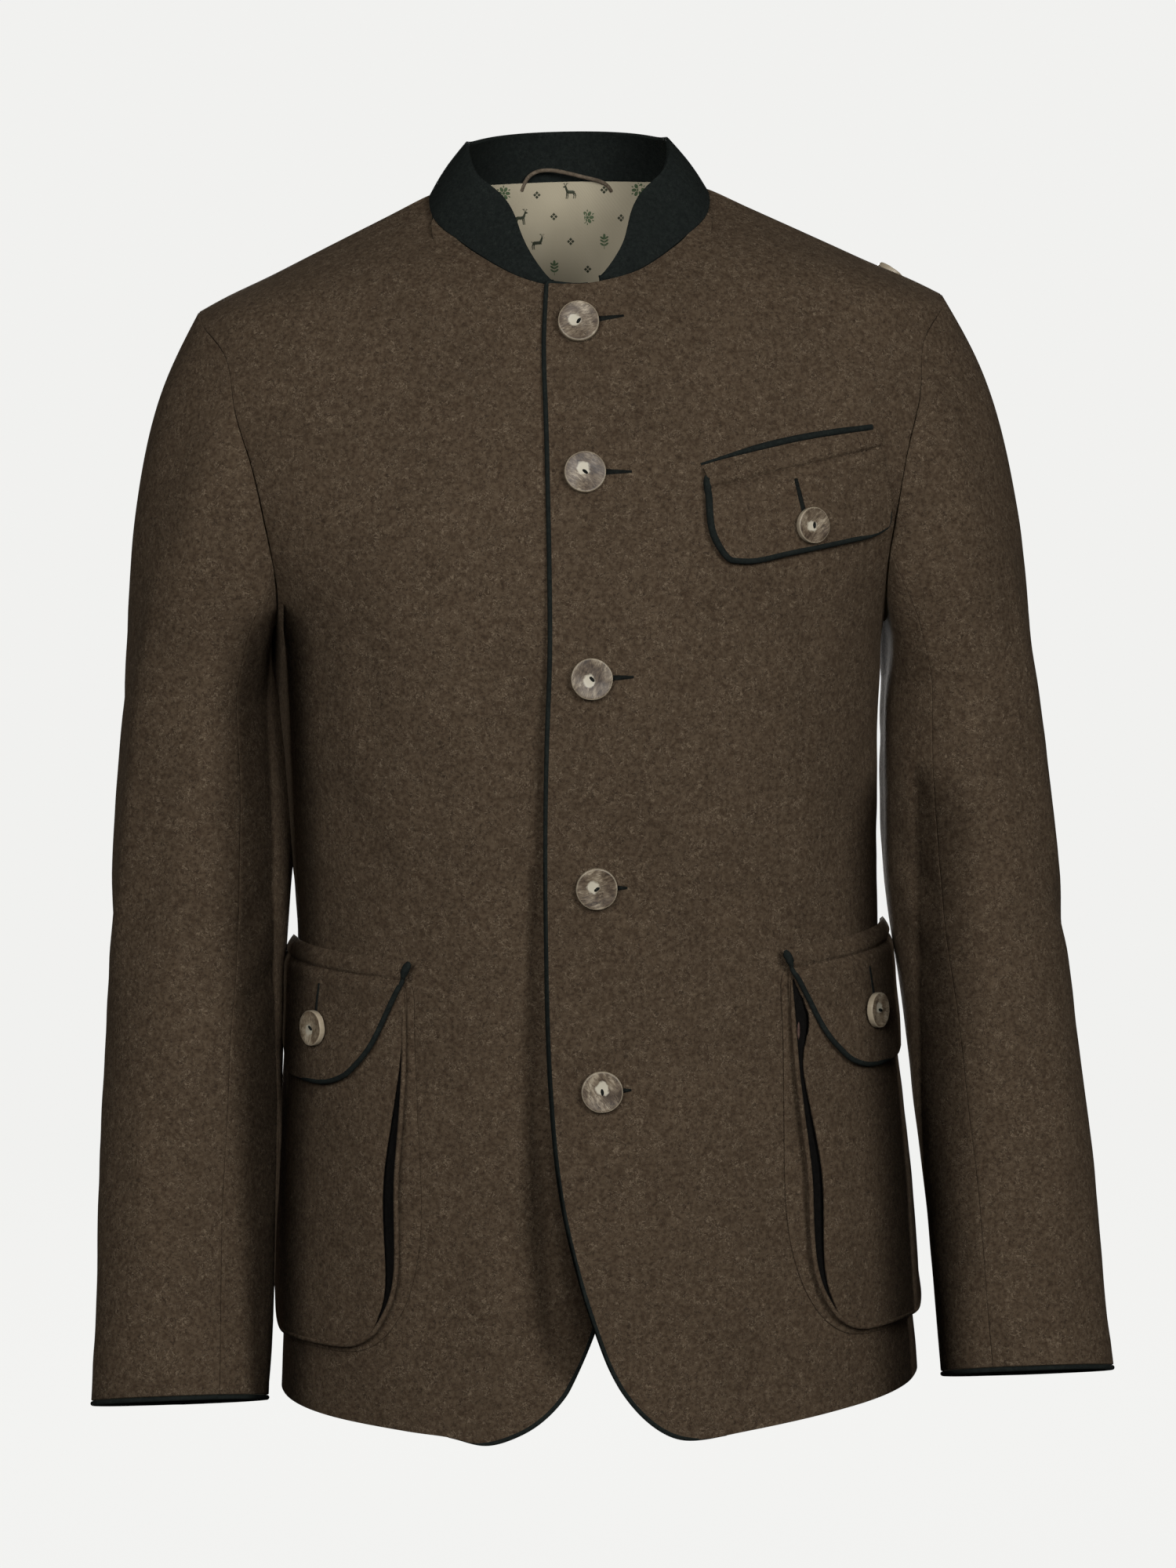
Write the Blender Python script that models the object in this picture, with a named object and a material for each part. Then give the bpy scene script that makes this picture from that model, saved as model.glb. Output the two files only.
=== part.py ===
"""A tyrolean loden jacket in the hollow form it has when worn, with no wearer.

Metres, +Z up. The front faces -Y and the wearer's left side is +X. The origin lies in the
middle of the neck at the height where the shoulder seams meet the collar.
Every panel is a wall of cloth that follows one body surface, given by level sections.
"""
import bisect
import math
from collections import namedtuple

import bmesh
import bpy
from mathutils import Vector

# Driving dimensions
CLOTH = 0.0020
FLAP_CLOTH = 0.0024
POUCH_CLOTH = 0.0016
GUSSET_CLOTH = 0.0010
COLLAR_CLOTH = 0.0026
LINING_CLOTH = 0.0010
SEAM_GAP = 0.0003

SHOULDER_TIP_HEIGHT = -0.066
NECK_FRONT_DROP = 0.060
NECK_BACK_RISE = 0.004
NECK_CURVE = 1.17
SIDE_SEAM_ANGLE = math.radians(94.0)

LAP_GAP = 0.0009
LAP_FULL_ANGLE = math.radians(13.0)
LAP_END_ANGLE = math.radians(36.0)

COLLAR_HEIGHT = 0.037
COLLAR_END_HEIGHT = 0.0015
COLLAR_SQUARENESS = 0.8
COLLAR_GAP = 0.0005
COLLAR_END_ANGLE = math.radians(10.5)
COLLAR_FULL_ANGLE = math.radians(50.0)

PIPING_RADIUS = 0.0014
OVER_PIPING_DEPTH = 0.0008
UNDER_PIPING_DEPTH = 0.0016
FLAP_PIPING_RADIUS = 0.0015
STRIPE_RADIUS = 0.0018
LOOP_RADIUS = 0.0012

FRONT_BUTTON_RADIUS = 0.0117
POCKET_BUTTON_RADIUS = 0.0102
SHOULDER_BUTTON_RADIUS = 0.0090
BUTTON_THICKNESS = 0.0042
BUTTON_GAP = 0.0006
POCKET_BUTTON_GAP = 0.0011
SHOULDER_BUTTON_GAP = -0.0009
SHOULDER_BUTTON_ANGLE = math.radians(95.0)
SHOULDER_BUTTON_HEIGHT = -0.0535
FRONT_BUTTON_HEIGHTS = (-0.0825, -0.1695, -0.286, -0.406, -0.524)

SIDE_ROWS = 12
ARMHOLE_ROWS = 9
NECK_COLUMNS = 7
SHOULDER_COLUMNS = 7
BACK_NECK_COLUMNS = 5

# Level sections of the outer face of the jacket's body
BodySection = namedtuple("BodySection", "height half_width front_depth back_depth roundness")
BODY = [
    BodySection(0.012, 0.058, 0.024, 0.060, 2.00),
    BodySection(0.004, 0.075, 0.027, 0.068, 2.00),
    BodySection(0.000, 0.083, 0.029, 0.070, 2.02),
    BodySection(-0.0165, 0.1178, 0.038, 0.078, 2.08),
    BodySection(-0.028, 0.142, 0.048, 0.083, 2.10),
    BodySection(-0.040, 0.1672, 0.057, 0.088, 2.12),
    BodySection(-0.050, 0.1883, 0.0655, 0.092, 2.14),
    BodySection(-0.066, 0.222, 0.078, 0.098, 2.18),
    BodySection(-0.090, 0.234, 0.088, 0.106, 2.24),
    BodySection(-0.125, 0.245, 0.101, 0.116, 2.30),
    BodySection(-0.165, 0.2295, 0.115, 0.124, 2.30),
    BodySection(-0.200, 0.212, 0.125, 0.128, 2.30),
    BodySection(-0.235, 0.192, 0.131, 0.130, 2.30),
    BodySection(-0.262, 0.1825, 0.134, 0.129, 2.30),
    BodySection(-0.300, 0.179, 0.136, 0.126, 2.30),
    BodySection(-0.350, 0.177, 0.134, 0.118, 2.30),
    BodySection(-0.410, 0.175, 0.130, 0.111, 2.30),
    BodySection(-0.450, 0.175, 0.129, 0.111, 2.30),
    BodySection(-0.500, 0.177, 0.129, 0.115, 2.30),
    BodySection(-0.550, 0.180, 0.131, 0.121, 2.30),
    BodySection(-0.600, 0.184, 0.133, 0.126, 2.30),
    BodySection(-0.650, 0.188, 0.135, 0.129, 2.32),
    BodySection(-0.700, 0.192, 0.136, 0.131, 2.34),
    BodySection(-0.740, 0.194, 0.137, 0.132, 2.35),
]

# Armhole seen from the side: distance towards the back, height; from the shoulder tip down
ArmholePoint = namedtuple("ArmholePoint", "behind height")
ARMHOLE_FRONT = [
    ArmholePoint(0.000, -0.066),
    ArmholePoint(-0.040, -0.083),
    ArmholePoint(-0.064, -0.122),
    ArmholePoint(-0.073, -0.170),
    ArmholePoint(-0.068, -0.215),
    ArmholePoint(-0.042, -0.249),
    ArmholePoint(0.0127, -0.262),
]
ARMHOLE_BACK = [
    ArmholePoint(0.000, -0.066),
    ArmholePoint(0.040, -0.079),
    ArmholePoint(0.068, -0.112),
    ArmholePoint(0.081, -0.158),
    ArmholePoint(0.076, -0.208),
    ArmholePoint(0.053, -0.246),
    ArmholePoint(0.0127, -0.262),
]

# Front edges and round lower corners: height, distance to the wearer's left of the centre
EdgePoint = namedtuple("EdgePoint", "height across")
OVER_EDGE = [
    EdgePoint(-0.0605, -0.0175),
    EdgePoint(-0.077, -0.0200),
    EdgePoint(-0.150, -0.0210),
    EdgePoint(-0.265, -0.0230),
    EdgePoint(-0.325, -0.0265),
    EdgePoint(-0.390, -0.0290),
    EdgePoint(-0.480, -0.0300),
    EdgePoint(-0.530, -0.0290),
    EdgePoint(-0.565, -0.0270),
    EdgePoint(-0.600, -0.0225),
    EdgePoint(-0.636, -0.0145),
    EdgePoint(-0.660, -0.0075),
    EdgePoint(-0.680, -0.0010),
    EdgePoint(-0.696, 0.0065),
]
OVER_CORNER = [
    EdgePoint(-0.696, 0.0065),
    EdgePoint(-0.708, 0.0150),
    EdgePoint(-0.718, 0.0250),
    EdgePoint(-0.725, 0.0360),
    EdgePoint(-0.728, 0.0500),
]
UNDER_EDGE = [
    EdgePoint(-0.0605, 0.0175),
    EdgePoint(-0.077, 0.0200),
    EdgePoint(-0.150, 0.0210),
    EdgePoint(-0.300, 0.0225),
    EdgePoint(-0.450, 0.0230),
    EdgePoint(-0.520, 0.0200),
    EdgePoint(-0.570, 0.0135),
    EdgePoint(-0.610, 0.0060),
    EdgePoint(-0.640, -0.0010),
    EdgePoint(-0.665, -0.0085),
    EdgePoint(-0.683, -0.0170),
    EdgePoint(-0.699, -0.0260),
]
UNDER_CORNER = [
    EdgePoint(-0.699, -0.0260),
    EdgePoint(-0.711, -0.0370),
    EdgePoint(-0.720, -0.0500),
    EdgePoint(-0.726, -0.0660),
    EdgePoint(-0.728, -0.0800),
]

# Lower edge of the body: angle from the centre front in degrees, height
HemPoint = namedtuple("HemPoint", "angle height")
HEM = [
    HemPoint(0.0, -0.728),
    HemPoint(20.0, -0.728),
    HemPoint(35.0, -0.7245),
    HemPoint(50.0, -0.7200),
    HemPoint(65.0, -0.7165),
    HemPoint(94.0, -0.7110),
    HemPoint(135.0, -0.7065),
    HemPoint(180.0, -0.7050),
]

# Sleeve rings below the armhole: centre, half widths and forward tilt of the ring in degrees
ArmSection = namedtuple("ArmSection", "height across behind half_width half_depth tilt")
ARM = [
    ArmSection(-0.305, 0.2290, 0.006, 0.0475, 0.0700, 0.0),
    ArmSection(-0.350, 0.2300, 0.003, 0.0510, 0.0675, 2.0),
    ArmSection(-0.400, 0.2315, -0.004, 0.0530, 0.0645, 4.0),
    ArmSection(-0.450, 0.2350, -0.013, 0.0525, 0.0605, 7.0),
    ArmSection(-0.500, 0.2395, -0.025, 0.0508, 0.0565, 10.0),
    ArmSection(-0.550, 0.2430, -0.037, 0.0512, 0.0525, 12.0),
    ArmSection(-0.600, 0.2470, -0.049, 0.0510, 0.0485, 13.0),
    ArmSection(-0.651, 0.2492, -0.060, 0.0510, 0.0457, 13.0),
    ArmSection(-0.7055, 0.2515, -0.0725, 0.0515, 0.0430, 13.0),
]
CAP_ROWS = 5
ARMHOLE_GAP = 0.0004
UNDERARM_GAP = 0.0012

# Soft folds of the sleeves: height, direction round the arm, length, width, depth (below 0: hollow)
SleeveFold = namedtuple("SleeveFold", "height turn slope length width depth")
SLEEVE_FOLDS = [
    SleeveFold(-0.255, 95.0, 0.10, 0.090, 0.022, -0.0022),
    SleeveFold(-0.395, 118.0, 0.25, 0.060, 0.016, -0.0030),
    SleeveFold(-0.425, 60.0, -0.30, 0.070, 0.018, 0.0020),
    SleeveFold(-0.470, 105.0, 0.20, 0.065, 0.015, -0.0024),
    SleeveFold(-0.520, 20.0, -0.20, 0.080, 0.022, 0.0016),
    SleeveFold(-0.380, 275.0, 0.15, 0.070, 0.018, -0.0024),
    SleeveFold(-0.600, 300.0, -0.15, 0.090, 0.022, 0.0018),
]

# Lower bellows pockets
POUCH_FRONT = 0.108
POUCH_REAR_ANGLE = math.radians(91.0)
POUCH_MOUTH_HEIGHT = -0.462
POUCH_BOTTOM_HEIGHT = -0.676
POUCH_INSET = 0.0045
FLAP_GAP = 0.0011
FLAP_SEAM_GAP = 0.0006
GUSSET_GAP = 0.0009
StandOff = namedtuple("StandOff", "height out")
POUCH_STAND = [
    StandOff(-0.455, 0.0060),
    StandOff(-0.500, 0.0075),
    StandOff(-0.545, 0.0093),
    StandOff(-0.590, 0.0099),
    StandOff(-0.640, 0.0086),
    StandOff(-0.680, 0.0068),
]
POUCH_REAR_SHARE = 0.86
FLAP_TOP_FRONT_HEIGHT = -0.447
FLAP_TOP_REAR_HEIGHT = -0.437
FLAP_BOTTOM_HEIGHT = -0.5195
FLAP_BUTTON_ANGLE = math.radians(65.5)
FLAP_BUTTON_HEIGHT = -0.4885

# Breast pocket flap on the over front: distance to the wearer's left, height
BREAST_GAP = 0.0011
BREAST_TOP_INNER = (0.068, -0.168)
BREAST_TOP_OUTER = (0.172, -0.147)
BREAST_LOW_OUTER = (0.178, -0.205)
BREAST_LOW_INNER = (0.084, -0.223)
BREAST_BUTTON = (0.1285, -0.202)


# ---------------------------------------------------------------- curves and the body surface

def smooth_value(rows, key, value, at):
    """Value of a named column at a place along another, on a smooth curve through the rows."""
    rows = sorted(rows, key=lambda row: getattr(row, key))
    keys = [getattr(row, key) for row in rows]
    values = [getattr(row, value) for row in rows]
    at = min(max(at, keys[0]), keys[-1])
    last = len(rows) - 1
    index = 0
    while index < last - 1 and at > keys[index + 1]:
        index += 1
    slopes = []
    for place in (index, index + 1):
        before = max(place - 1, 0)
        after = min(place + 1, last)
        slopes.append((values[after] - values[before]) / (keys[after] - keys[before]))
    span = keys[index + 1] - keys[index]
    part = (at - keys[index]) / span
    return (values[index] * (1 + 2 * part) * (1 - part) ** 2
            + values[index + 1] * part ** 2 * (3 - 2 * part)
            + slopes[0] * span * part * (1 - part) ** 2
            - slopes[1] * span * part ** 2 * (1 - part))


def smooth_step(value):
    value = min(max(value, 0.0), 1.0)
    return value * value * (3 - 2 * value)


def mix(first, second, share):
    return first + (second - first) * share


def body_section(height):
    values = [smooth_value(BODY, "height", column, height) for column in BodySection._fields[1:]]
    return BodySection(height, *values)


SECTION_CACHE = {}


def section(height):
    key = round(height, 7)
    if key not in SECTION_CACHE:
        SECTION_CACHE[key] = body_section(key)
    return SECTION_CACHE[key]


def body_surface(angle, height):
    """Point on the body surface; the angle is 0 at the centre front, positive to the left side."""
    ring = section(height)
    depth = ring.front_depth if math.cos(angle) >= 0 else ring.back_depth
    forward = (abs(math.cos(angle)) / depth) ** ring.roundness
    sideways = (abs(math.sin(angle)) / ring.half_width) ** ring.roundness
    radius = (forward + sideways) ** (-1 / ring.roundness)
    return Vector((radius * math.sin(angle), -radius * math.cos(angle), height))


def body_normal(angle, height):
    turn = 0.01
    rise = 0.002
    around = body_surface(angle + turn, height) - body_surface(angle - turn, height)
    upward = body_surface(angle, height + rise) - body_surface(angle, height - rise)
    return around.cross(upward).normalized()


def body_point(angle, height, out=0.0):
    return body_surface(angle, height) + body_normal(angle, height) * out


def angle_at(across, height):
    """Angle of the front point that lies this far to the wearer's left of the centre."""
    ring = section(height)
    share = min(abs(across) / ring.half_width, 0.9999)
    forward = ring.front_depth * (1 - share ** ring.roundness) ** (1 / ring.roundness)
    return math.atan2(across, forward)


def neckline_height(angle):
    if math.cos(angle) >= 0:
        return -NECK_FRONT_DROP * math.cos(angle) ** NECK_CURVE
    return NECK_BACK_RISE * (-math.cos(angle)) ** NECK_CURVE


def hem_height(angle):
    return smooth_value(HEM, "angle", "height", abs(math.degrees(angle)))


def lap_lift(angle):
    """How far the over front is lifted by the front that lies under it."""
    share = (LAP_END_ANGLE - angle) / (LAP_END_ANGLE - LAP_FULL_ANGLE)
    return (CLOTH + LAP_GAP) * smooth_step(share)


# ---------------------------------------------------------------- flat pattern coordinates

ARC_STEP = math.radians(3.0)
ARC_STEPS = 42
ARC_CACHE = {}


def arc_lengths(height, back):
    """Lengths along the ring from the centre front or back, one for each step of the angle."""
    key = (round(height, 5), back)
    if key not in ARC_CACHE:
        lengths = [0.0]
        previous = body_surface(math.pi if back else 0.0, key[0])
        for step in range(1, ARC_STEPS + 1):
            turn = step * ARC_STEP
            point = body_surface(math.pi - turn if back else turn, key[0])
            lengths.append(lengths[-1] + (point - previous).length)
            previous = point
        ARC_CACHE[key] = lengths
    return ARC_CACHE[key]


def to_flat(place, back):
    """Length along the ring and height of a place given as angle and height."""
    angle, height = place
    turn = math.pi - angle if back else angle
    lengths = arc_lengths(height, back)
    steps = abs(turn) / ARC_STEP
    index = min(int(steps), ARC_STEPS - 1)
    length = mix(lengths[index], lengths[index + 1], steps - index)
    return (math.copysign(length, turn), height)


def from_flat(flat, back):
    """Angle and height of a place given as length along the ring and height."""
    girth, height = flat
    lengths = arc_lengths(height, back)
    index = min(bisect.bisect_right(lengths, abs(girth)) - 1, ARC_STEPS - 1)
    part = (abs(girth) - lengths[index]) / (lengths[index + 1] - lengths[index])
    turn = math.copysign((index + part) * ARC_STEP, girth)
    return (math.pi - turn if back else turn, height)


def resample(points, shares):
    """Points at the given shares of a polyline's length."""
    lengths = [0.0]
    for first, second in zip(points, points[1:]):
        lengths.append(lengths[-1] + math.dist(first, second))
    result = []
    for share in shares:
        goal = share * lengths[-1]
        index = 0
        while index < len(points) - 2 and lengths[index + 1] < goal:
            index += 1
        span = lengths[index + 1] - lengths[index]
        part = (goal - lengths[index]) / span if span else 0.0
        result.append(tuple(mix(a, b, part) for a, b in zip(points[index], points[index + 1])))
    return result


def even(count, power=1.0):
    return [(step / count) ** power for step in range(count + 1)]


def fractions(points):
    lengths = [0.0]
    for first, second in zip(points, points[1:]):
        lengths.append(lengths[-1] + math.dist(first, second))
    return [length / lengths[-1] for length in lengths]


def fill_patch(bottom, top, left, right):
    """Grid of flat points between four edges; rows run from bottom to top."""
    across = [(a + b) / 2 for a, b in zip(fractions(bottom), fractions(top))]
    upward = [(a + b) / 2 for a, b in zip(fractions(left), fractions(right))]
    grid = []
    for row, v in enumerate(upward):
        line = []
        for column, u in enumerate(across):
            point = []
            for axis in (0, 1):
                edges = (mix(bottom[column][axis], top[column][axis], v)
                         + mix(left[row][axis], right[row][axis], u))
                corners = mix(mix(bottom[0][axis], bottom[-1][axis], u),
                              mix(top[0][axis], top[-1][axis], u), v)
                point.append(edges - corners)
            line.append(tuple(point))
        grid.append(line)
    return grid


def smooth_run(rows, steps=6):
    """Smooth polyline through rows of two numbers, with more points than rows."""
    points = [tuple(row) for row in rows]
    dense = []
    for index in range(len(points) - 1):
        before = points[max(index - 1, 0)]
        start = points[index]
        end = points[index + 1]
        after = points[min(index + 2, len(points) - 1)]
        for step in range(steps):
            part = step / steps
            dense.append(tuple(
                0.5 * (2 * b + (c - a) * part + (2 * a - 5 * b + 4 * c - d) * part ** 2
                       + (3 * b - a - 3 * c + d) * part ** 3)
                for a, b, c, d in zip(before, start, end, after)))
    dense.append(points[-1])
    return dense


# ---------------------------------------------------------------- solids from points

def material(name, colour, roughness):
    result = bpy.data.materials.new(name)
    result.use_nodes = True
    shader = result.node_tree.nodes["Principled BSDF"]
    shader.inputs["Base Color"].default_value = (*colour, 1.0)
    shader.inputs["Roughness"].default_value = roughness
    shader.inputs["Metallic"].default_value = 0.0
    return result


def add_object(name, points, faces, finish):
    mesh = bpy.data.meshes.new(name)
    shell = bmesh.new()
    corners = [shell.verts.new(point) for point in points]
    for face in faces:
        shell.faces.new([corners[index] for index in face])
    bmesh.ops.recalc_face_normals(shell, faces=shell.faces)
    shell.to_mesh(mesh)
    shell.free()
    mesh.materials.append(finish)
    mesh.shade_smooth()
    mesh.set_sharp_from_angle(angle=math.radians(40))
    placed = bpy.data.objects.new(name, mesh)
    bpy.context.scene.collection.objects.link(placed)
    return placed


def add_wall(name, outer, inner, finish):
    """Closed wall between two grids of points; both sides share the way each cell is halved."""
    rows = len(outer)
    columns = len(outer[0])
    points = [point for line in outer for point in line]
    points += [point for line in inner for point in line]
    shift = rows * columns
    faces = []
    for row in range(rows - 1):
        for column in range(columns - 1):
            corner = row * columns + column
            quad = (corner, corner + 1, corner + columns + 1, corner + columns)
            rising = (points[quad[2]] - points[quad[0]]).length
            falling = (points[quad[3]] - points[quad[1]]).length
            first = 0 if rising <= falling else 1
            for second, third in ((1, 2), (2, 3)):
                face = [quad[(first + step) % 4] for step in (0, second, third)]
                faces.append(face)
                faces.append([index + shift for index in reversed(face)])
    rim = [column for column in range(columns)]
    rim += [row * columns + columns - 1 for row in range(1, rows)]
    rim += [(rows - 1) * columns + column for column in range(columns - 2, -1, -1)]
    rim += [row * columns for row in range(rows - 2, 0, -1)]
    for first, second in zip(rim, rim[1:] + rim[:1]):
        if first < second:
            faces.append((second, first, second + shift))
            faces.append((first, first + shift, second + shift))
        else:
            faces.append((second, first, first + shift))
            faces.append((second, first + shift, second + shift))
    return add_object(name, points, faces, finish)


def pull_in(grid, left=False, right=False, bottom=False, top=False):
    """Move the named borders of a grid half a seam gap towards its inside."""
    moves = []
    rows = len(grid)
    columns = len(grid[0])
    if left:
        moves += [((row, 0), (row, 1)) for row in range(rows)]
    if right:
        moves += [((row, columns - 1), (row, columns - 2)) for row in range(rows)]
    if bottom:
        moves += [((0, column), (1, column)) for column in range(columns)]
    if top:
        moves += [((rows - 1, column), (rows - 2, column)) for column in range(columns)]
    for (row, column), (next_row, next_column) in moves:
        point = grid[row][column]
        toward = grid[next_row][next_column] - point
        grid[row][column] = point + toward.normalized() * (SEAM_GAP / 2)


def add_sweep(name, sections, finish, closed=False):
    """Solid swept through sections that each have the same number of points."""
    count = len(sections[0])
    points = [point for line in sections for point in line]
    faces = []
    spans = len(sections) if closed else len(sections) - 1
    for span in range(spans):
        start = span * count
        end = (span + 1) % len(sections) * count
        for corner in range(count):
            after = (corner + 1) % count
            faces.append((start + corner, start + after, end + after, end + corner))
    if not closed:
        faces.append(tuple(range(count - 1, -1, -1)))
        last = (len(sections) - 1) * count
        faces.append(tuple(range(last, last + count)))
    return add_object(name, points, faces, finish)


def tube_sections(points, outward, radius, closed=False, sides=6):
    """Rings round a path; the list outward holds a direction across the path for each point."""
    sections = []
    count = len(points)
    for index, point in enumerate(points):
        if closed:
            along = points[(index + 1) % count] - points[index - 1]
        else:
            along = points[min(index + 1, count - 1)] - points[max(index - 1, 0)]
        along.normalize()
        across = outward[index] - along * outward[index].dot(along)
        across.normalize()
        other = along.cross(across)
        ring = []
        for side in range(sides):
            turn = (side + 0.5) * 2 * math.pi / sides
            ring.append(point + (across * math.cos(turn) + other * math.sin(turn)) * radius)
        sections.append(ring)
    return sections


def border_path(outer, inner, inside, reach, depth):
    """Path beside the border of a wall, this far out of its edge and this deep under its face."""
    count = len(outer)
    facings = [(first - second).normalized() for first, second in zip(outer, inner)]
    sides = []
    for index in range(count - 1):
        along = outer[index + 1] - outer[index]
        away = along.cross(facings[index] + facings[index + 1]).normalized()
        if away.dot(outer[index] - inside[index]) < 0:
            away = -away
        sides.append(away)
    path = []
    outward = []
    for index in range(count):
        before = sides[max(index - 1, 0)]
        after = sides[min(index, count - 2)]
        away = (before + after).normalized()
        stretch = reach / max(away.dot(after), 0.5)
        path.append(outer[index] - facings[index] * depth + away * stretch)
        outward.append(away)
    return path, outward


# ---------------------------------------------------------------- body panels

def armhole_places(rows):
    """Angle and height along one half of the armhole, evenly from the shoulder tip down."""
    dense = []
    for behind, height in smooth_run(rows):
        ring = section(height)
        depth = ring.back_depth if behind > 0 else ring.front_depth
        share = min(abs(behind) / depth, 0.9999)
        across = ring.half_width * (1 - share ** ring.roundness) ** (1 / ring.roundness)
        dense.append((behind, height, across))
    steps = resample(dense, even(ARMHOLE_ROWS))
    places = [(math.atan2(across, -behind), height) for behind, height, across in steps]
    places[0] = (math.pi / 2, SHOULDER_TIP_HEIGHT)
    places[-1] = (SIDE_SEAM_ANGLE, rows[-1].height)
    return places


def side_places():
    """Side seam from the hem to the bottom of the armhole."""
    start = hem_height(SIDE_SEAM_ANGLE)
    end = ARMHOLE_FRONT[-1].height
    return [(SIDE_SEAM_ANGLE, mix(start, end, share)) for share in even(SIDE_ROWS, 1.1)]


def shoulder_places():
    """Shoulder seam from the neck to the shoulder tip."""
    return [(math.pi / 2, SHOULDER_TIP_HEIGHT * share) for share in even(SHOULDER_COLUMNS)]


def front_outline(edge, corner, side):
    """The four edges of a front as angle and height, for the wearer's left (1) or right (-1)."""
    rows = SIDE_ROWS + ARMHOLE_ROWS
    edge_run = smooth_run([(point.height, point.across * side) for point in edge])
    corner_run = smooth_run([(point.height, point.across * side) for point in corner])
    edge_run.reverse()
    left = [(angle_at(across, height), height) for height, across in edge_run]
    bottom = [(angle_at(across, height), height) for height, across in corner_run]
    start = bottom[-1][0]
    for share in even(24)[1:]:
        angle = mix(start, SIDE_SEAM_ANGLE, share)
        bottom.append((angle, hem_height(angle)))
    right = side_places() + armhole_places(ARMHOLE_FRONT)[-2::-1]
    neck = []
    first = left[-1][0]
    for share in even(30):
        angle = mix(first, math.pi / 2, share)
        neck.append((angle, neckline_height(angle)))
    left[-1] = neck[0]
    left = resample([to_flat(place, False) for place in left], even(rows, 1.22))
    bottom = resample([to_flat(place, False) for place in bottom],
                      even(NECK_COLUMNS + SHOULDER_COLUMNS, 1.2))
    top = resample([to_flat(place, False) for place in neck], even(NECK_COLUMNS))
    top += [to_flat(place, False) for place in shoulder_places()[1:]]
    right = [to_flat(place, False) for place in right]
    return bottom, top, left, right


def front_grid(edge, corner, side):
    flat = fill_patch(*front_outline(edge, corner, side))
    return [[from_flat(point, False) for point in line] for line in flat]


def back_grid():
    rows = SIDE_ROWS + ARMHOLE_ROWS
    centre = [(math.pi, mix(hem_height(math.pi), NECK_BACK_RISE, share)) for share in even(rows)]
    hem = []
    neck = []
    for share in even(20):
        angle = mix(math.pi, SIDE_SEAM_ANGLE, share)
        hem.append((angle, hem_height(angle)))
        angle = mix(math.pi, math.pi / 2, share)
        neck.append((angle, neckline_height(angle)))
    left = [to_flat(place, True) for place in centre]
    bottom = resample([to_flat(place, True) for place in hem],
                      even(BACK_NECK_COLUMNS + SHOULDER_COLUMNS))
    top = resample([to_flat(place, True) for place in neck], even(BACK_NECK_COLUMNS))
    top += [to_flat(place, True) for place in shoulder_places()[1:]]
    right = [to_flat(place, True) for place in side_places()]
    right += [to_flat(place, True) for place in armhole_places(ARMHOLE_BACK)[-2::-1]]
    flat = fill_patch(bottom, top, left, right)
    return [[from_flat(point, True) for point in line] for line in flat]


def layer(grid, side, out):
    """Points of a grid of places at a distance out, which may be a function of the place."""
    points = []
    for line in grid:
        row = []
        for angle, height in line:
            distance = out(angle, height) if callable(out) else out
            row.append(body_point(side * angle, height, distance))
        points.append(row)
    return points


def over_lift(angle, height):
    return lap_lift(angle)


def over_inner(angle, height):
    return lap_lift(angle) - CLOTH


def add_panel(name, grid, side, outer_out, inner_out, finish, inner_seam):
    outer = layer(grid, side, outer_out)
    inner = layer(grid, side, inner_out)
    shoulder = len(grid[0]) - 1 - SHOULDER_COLUMNS
    for points in (outer, inner):
        pull_in(points, left=inner_seam)
        for row in range(SIDE_ROWS + 1):
            toward = points[row][-2] - points[row][-1]
            points[row][-1] = points[row][-1] + toward.normalized() * (SEAM_GAP / 2)
        for column in range(shoulder, len(grid[0])):
            toward = points[-2][column] - points[-1][column]
            points[-1][column] = points[-1][column] + toward.normalized() * (SEAM_GAP / 2)
    return add_wall(name, outer, inner, finish)


def add_body(loden):
    over = front_grid(OVER_EDGE, OVER_CORNER, 1)
    under = front_grid(UNDER_EDGE, UNDER_CORNER, -1)
    back = back_grid()
    add_panel("front_left", over, 1, over_lift, over_inner, loden, False)
    add_panel("front_right", under, -1, 0.0, -CLOTH, loden, False)
    add_panel("back_left", back, 1, 0.0, -CLOTH, loden, True)
    add_panel("back_right", back, -1, 0.0, -CLOTH, loden, True)
    return over, under, back


# ---------------------------------------------------------------- sleeves

def armhole_ring(side, out):
    """The armhole's points from the shoulder tip forward and down, then up the back."""
    places = armhole_places(ARMHOLE_FRONT)[:-1] + armhole_places(ARMHOLE_BACK)[:0:-1]
    return [body_point(side * angle, height, out) for angle, height in places]


def arm_ring(row, side, count):
    ring = []
    tilt = math.radians(row.tilt)
    for index in range(count):
        turn = 2 * math.pi * index / count
        forward = row.half_depth * math.sin(turn)
        across = row.across + row.half_width * math.cos(turn)
        ring.append(Vector((side * across, row.behind - forward * math.cos(tilt),
                            row.height + forward * math.sin(tilt))))
    return ring


def armhole_edge(side):
    """Outer points of the armhole's edge, the body's normals there and the ways into the hole."""
    outer = armhole_ring(side, 0.0)
    inner = armhole_ring(side, -CLOTH)
    count = len(outer)
    centre = sum(outer, Vector()) / count
    normals = [(first - second).normalized() for first, second in zip(outer, inner)]
    inward = []
    for index in range(count):
        along = outer[(index + 1) % count] - outer[index - 1]
        way = along.cross(normals[index]).normalized()
        if way.dot(centre - outer[index]) < 0:
            way = -way
        inward.append(way)
    return outer, normals, inward


def leaving(turn, side):
    """Direction in which the sleeve leaves the armhole."""
    across = 0.16 + 0.20 * (1 + math.cos(turn))
    return Vector((side * across, -0.22 * math.sin(turn), -0.84)).normalized()


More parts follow.
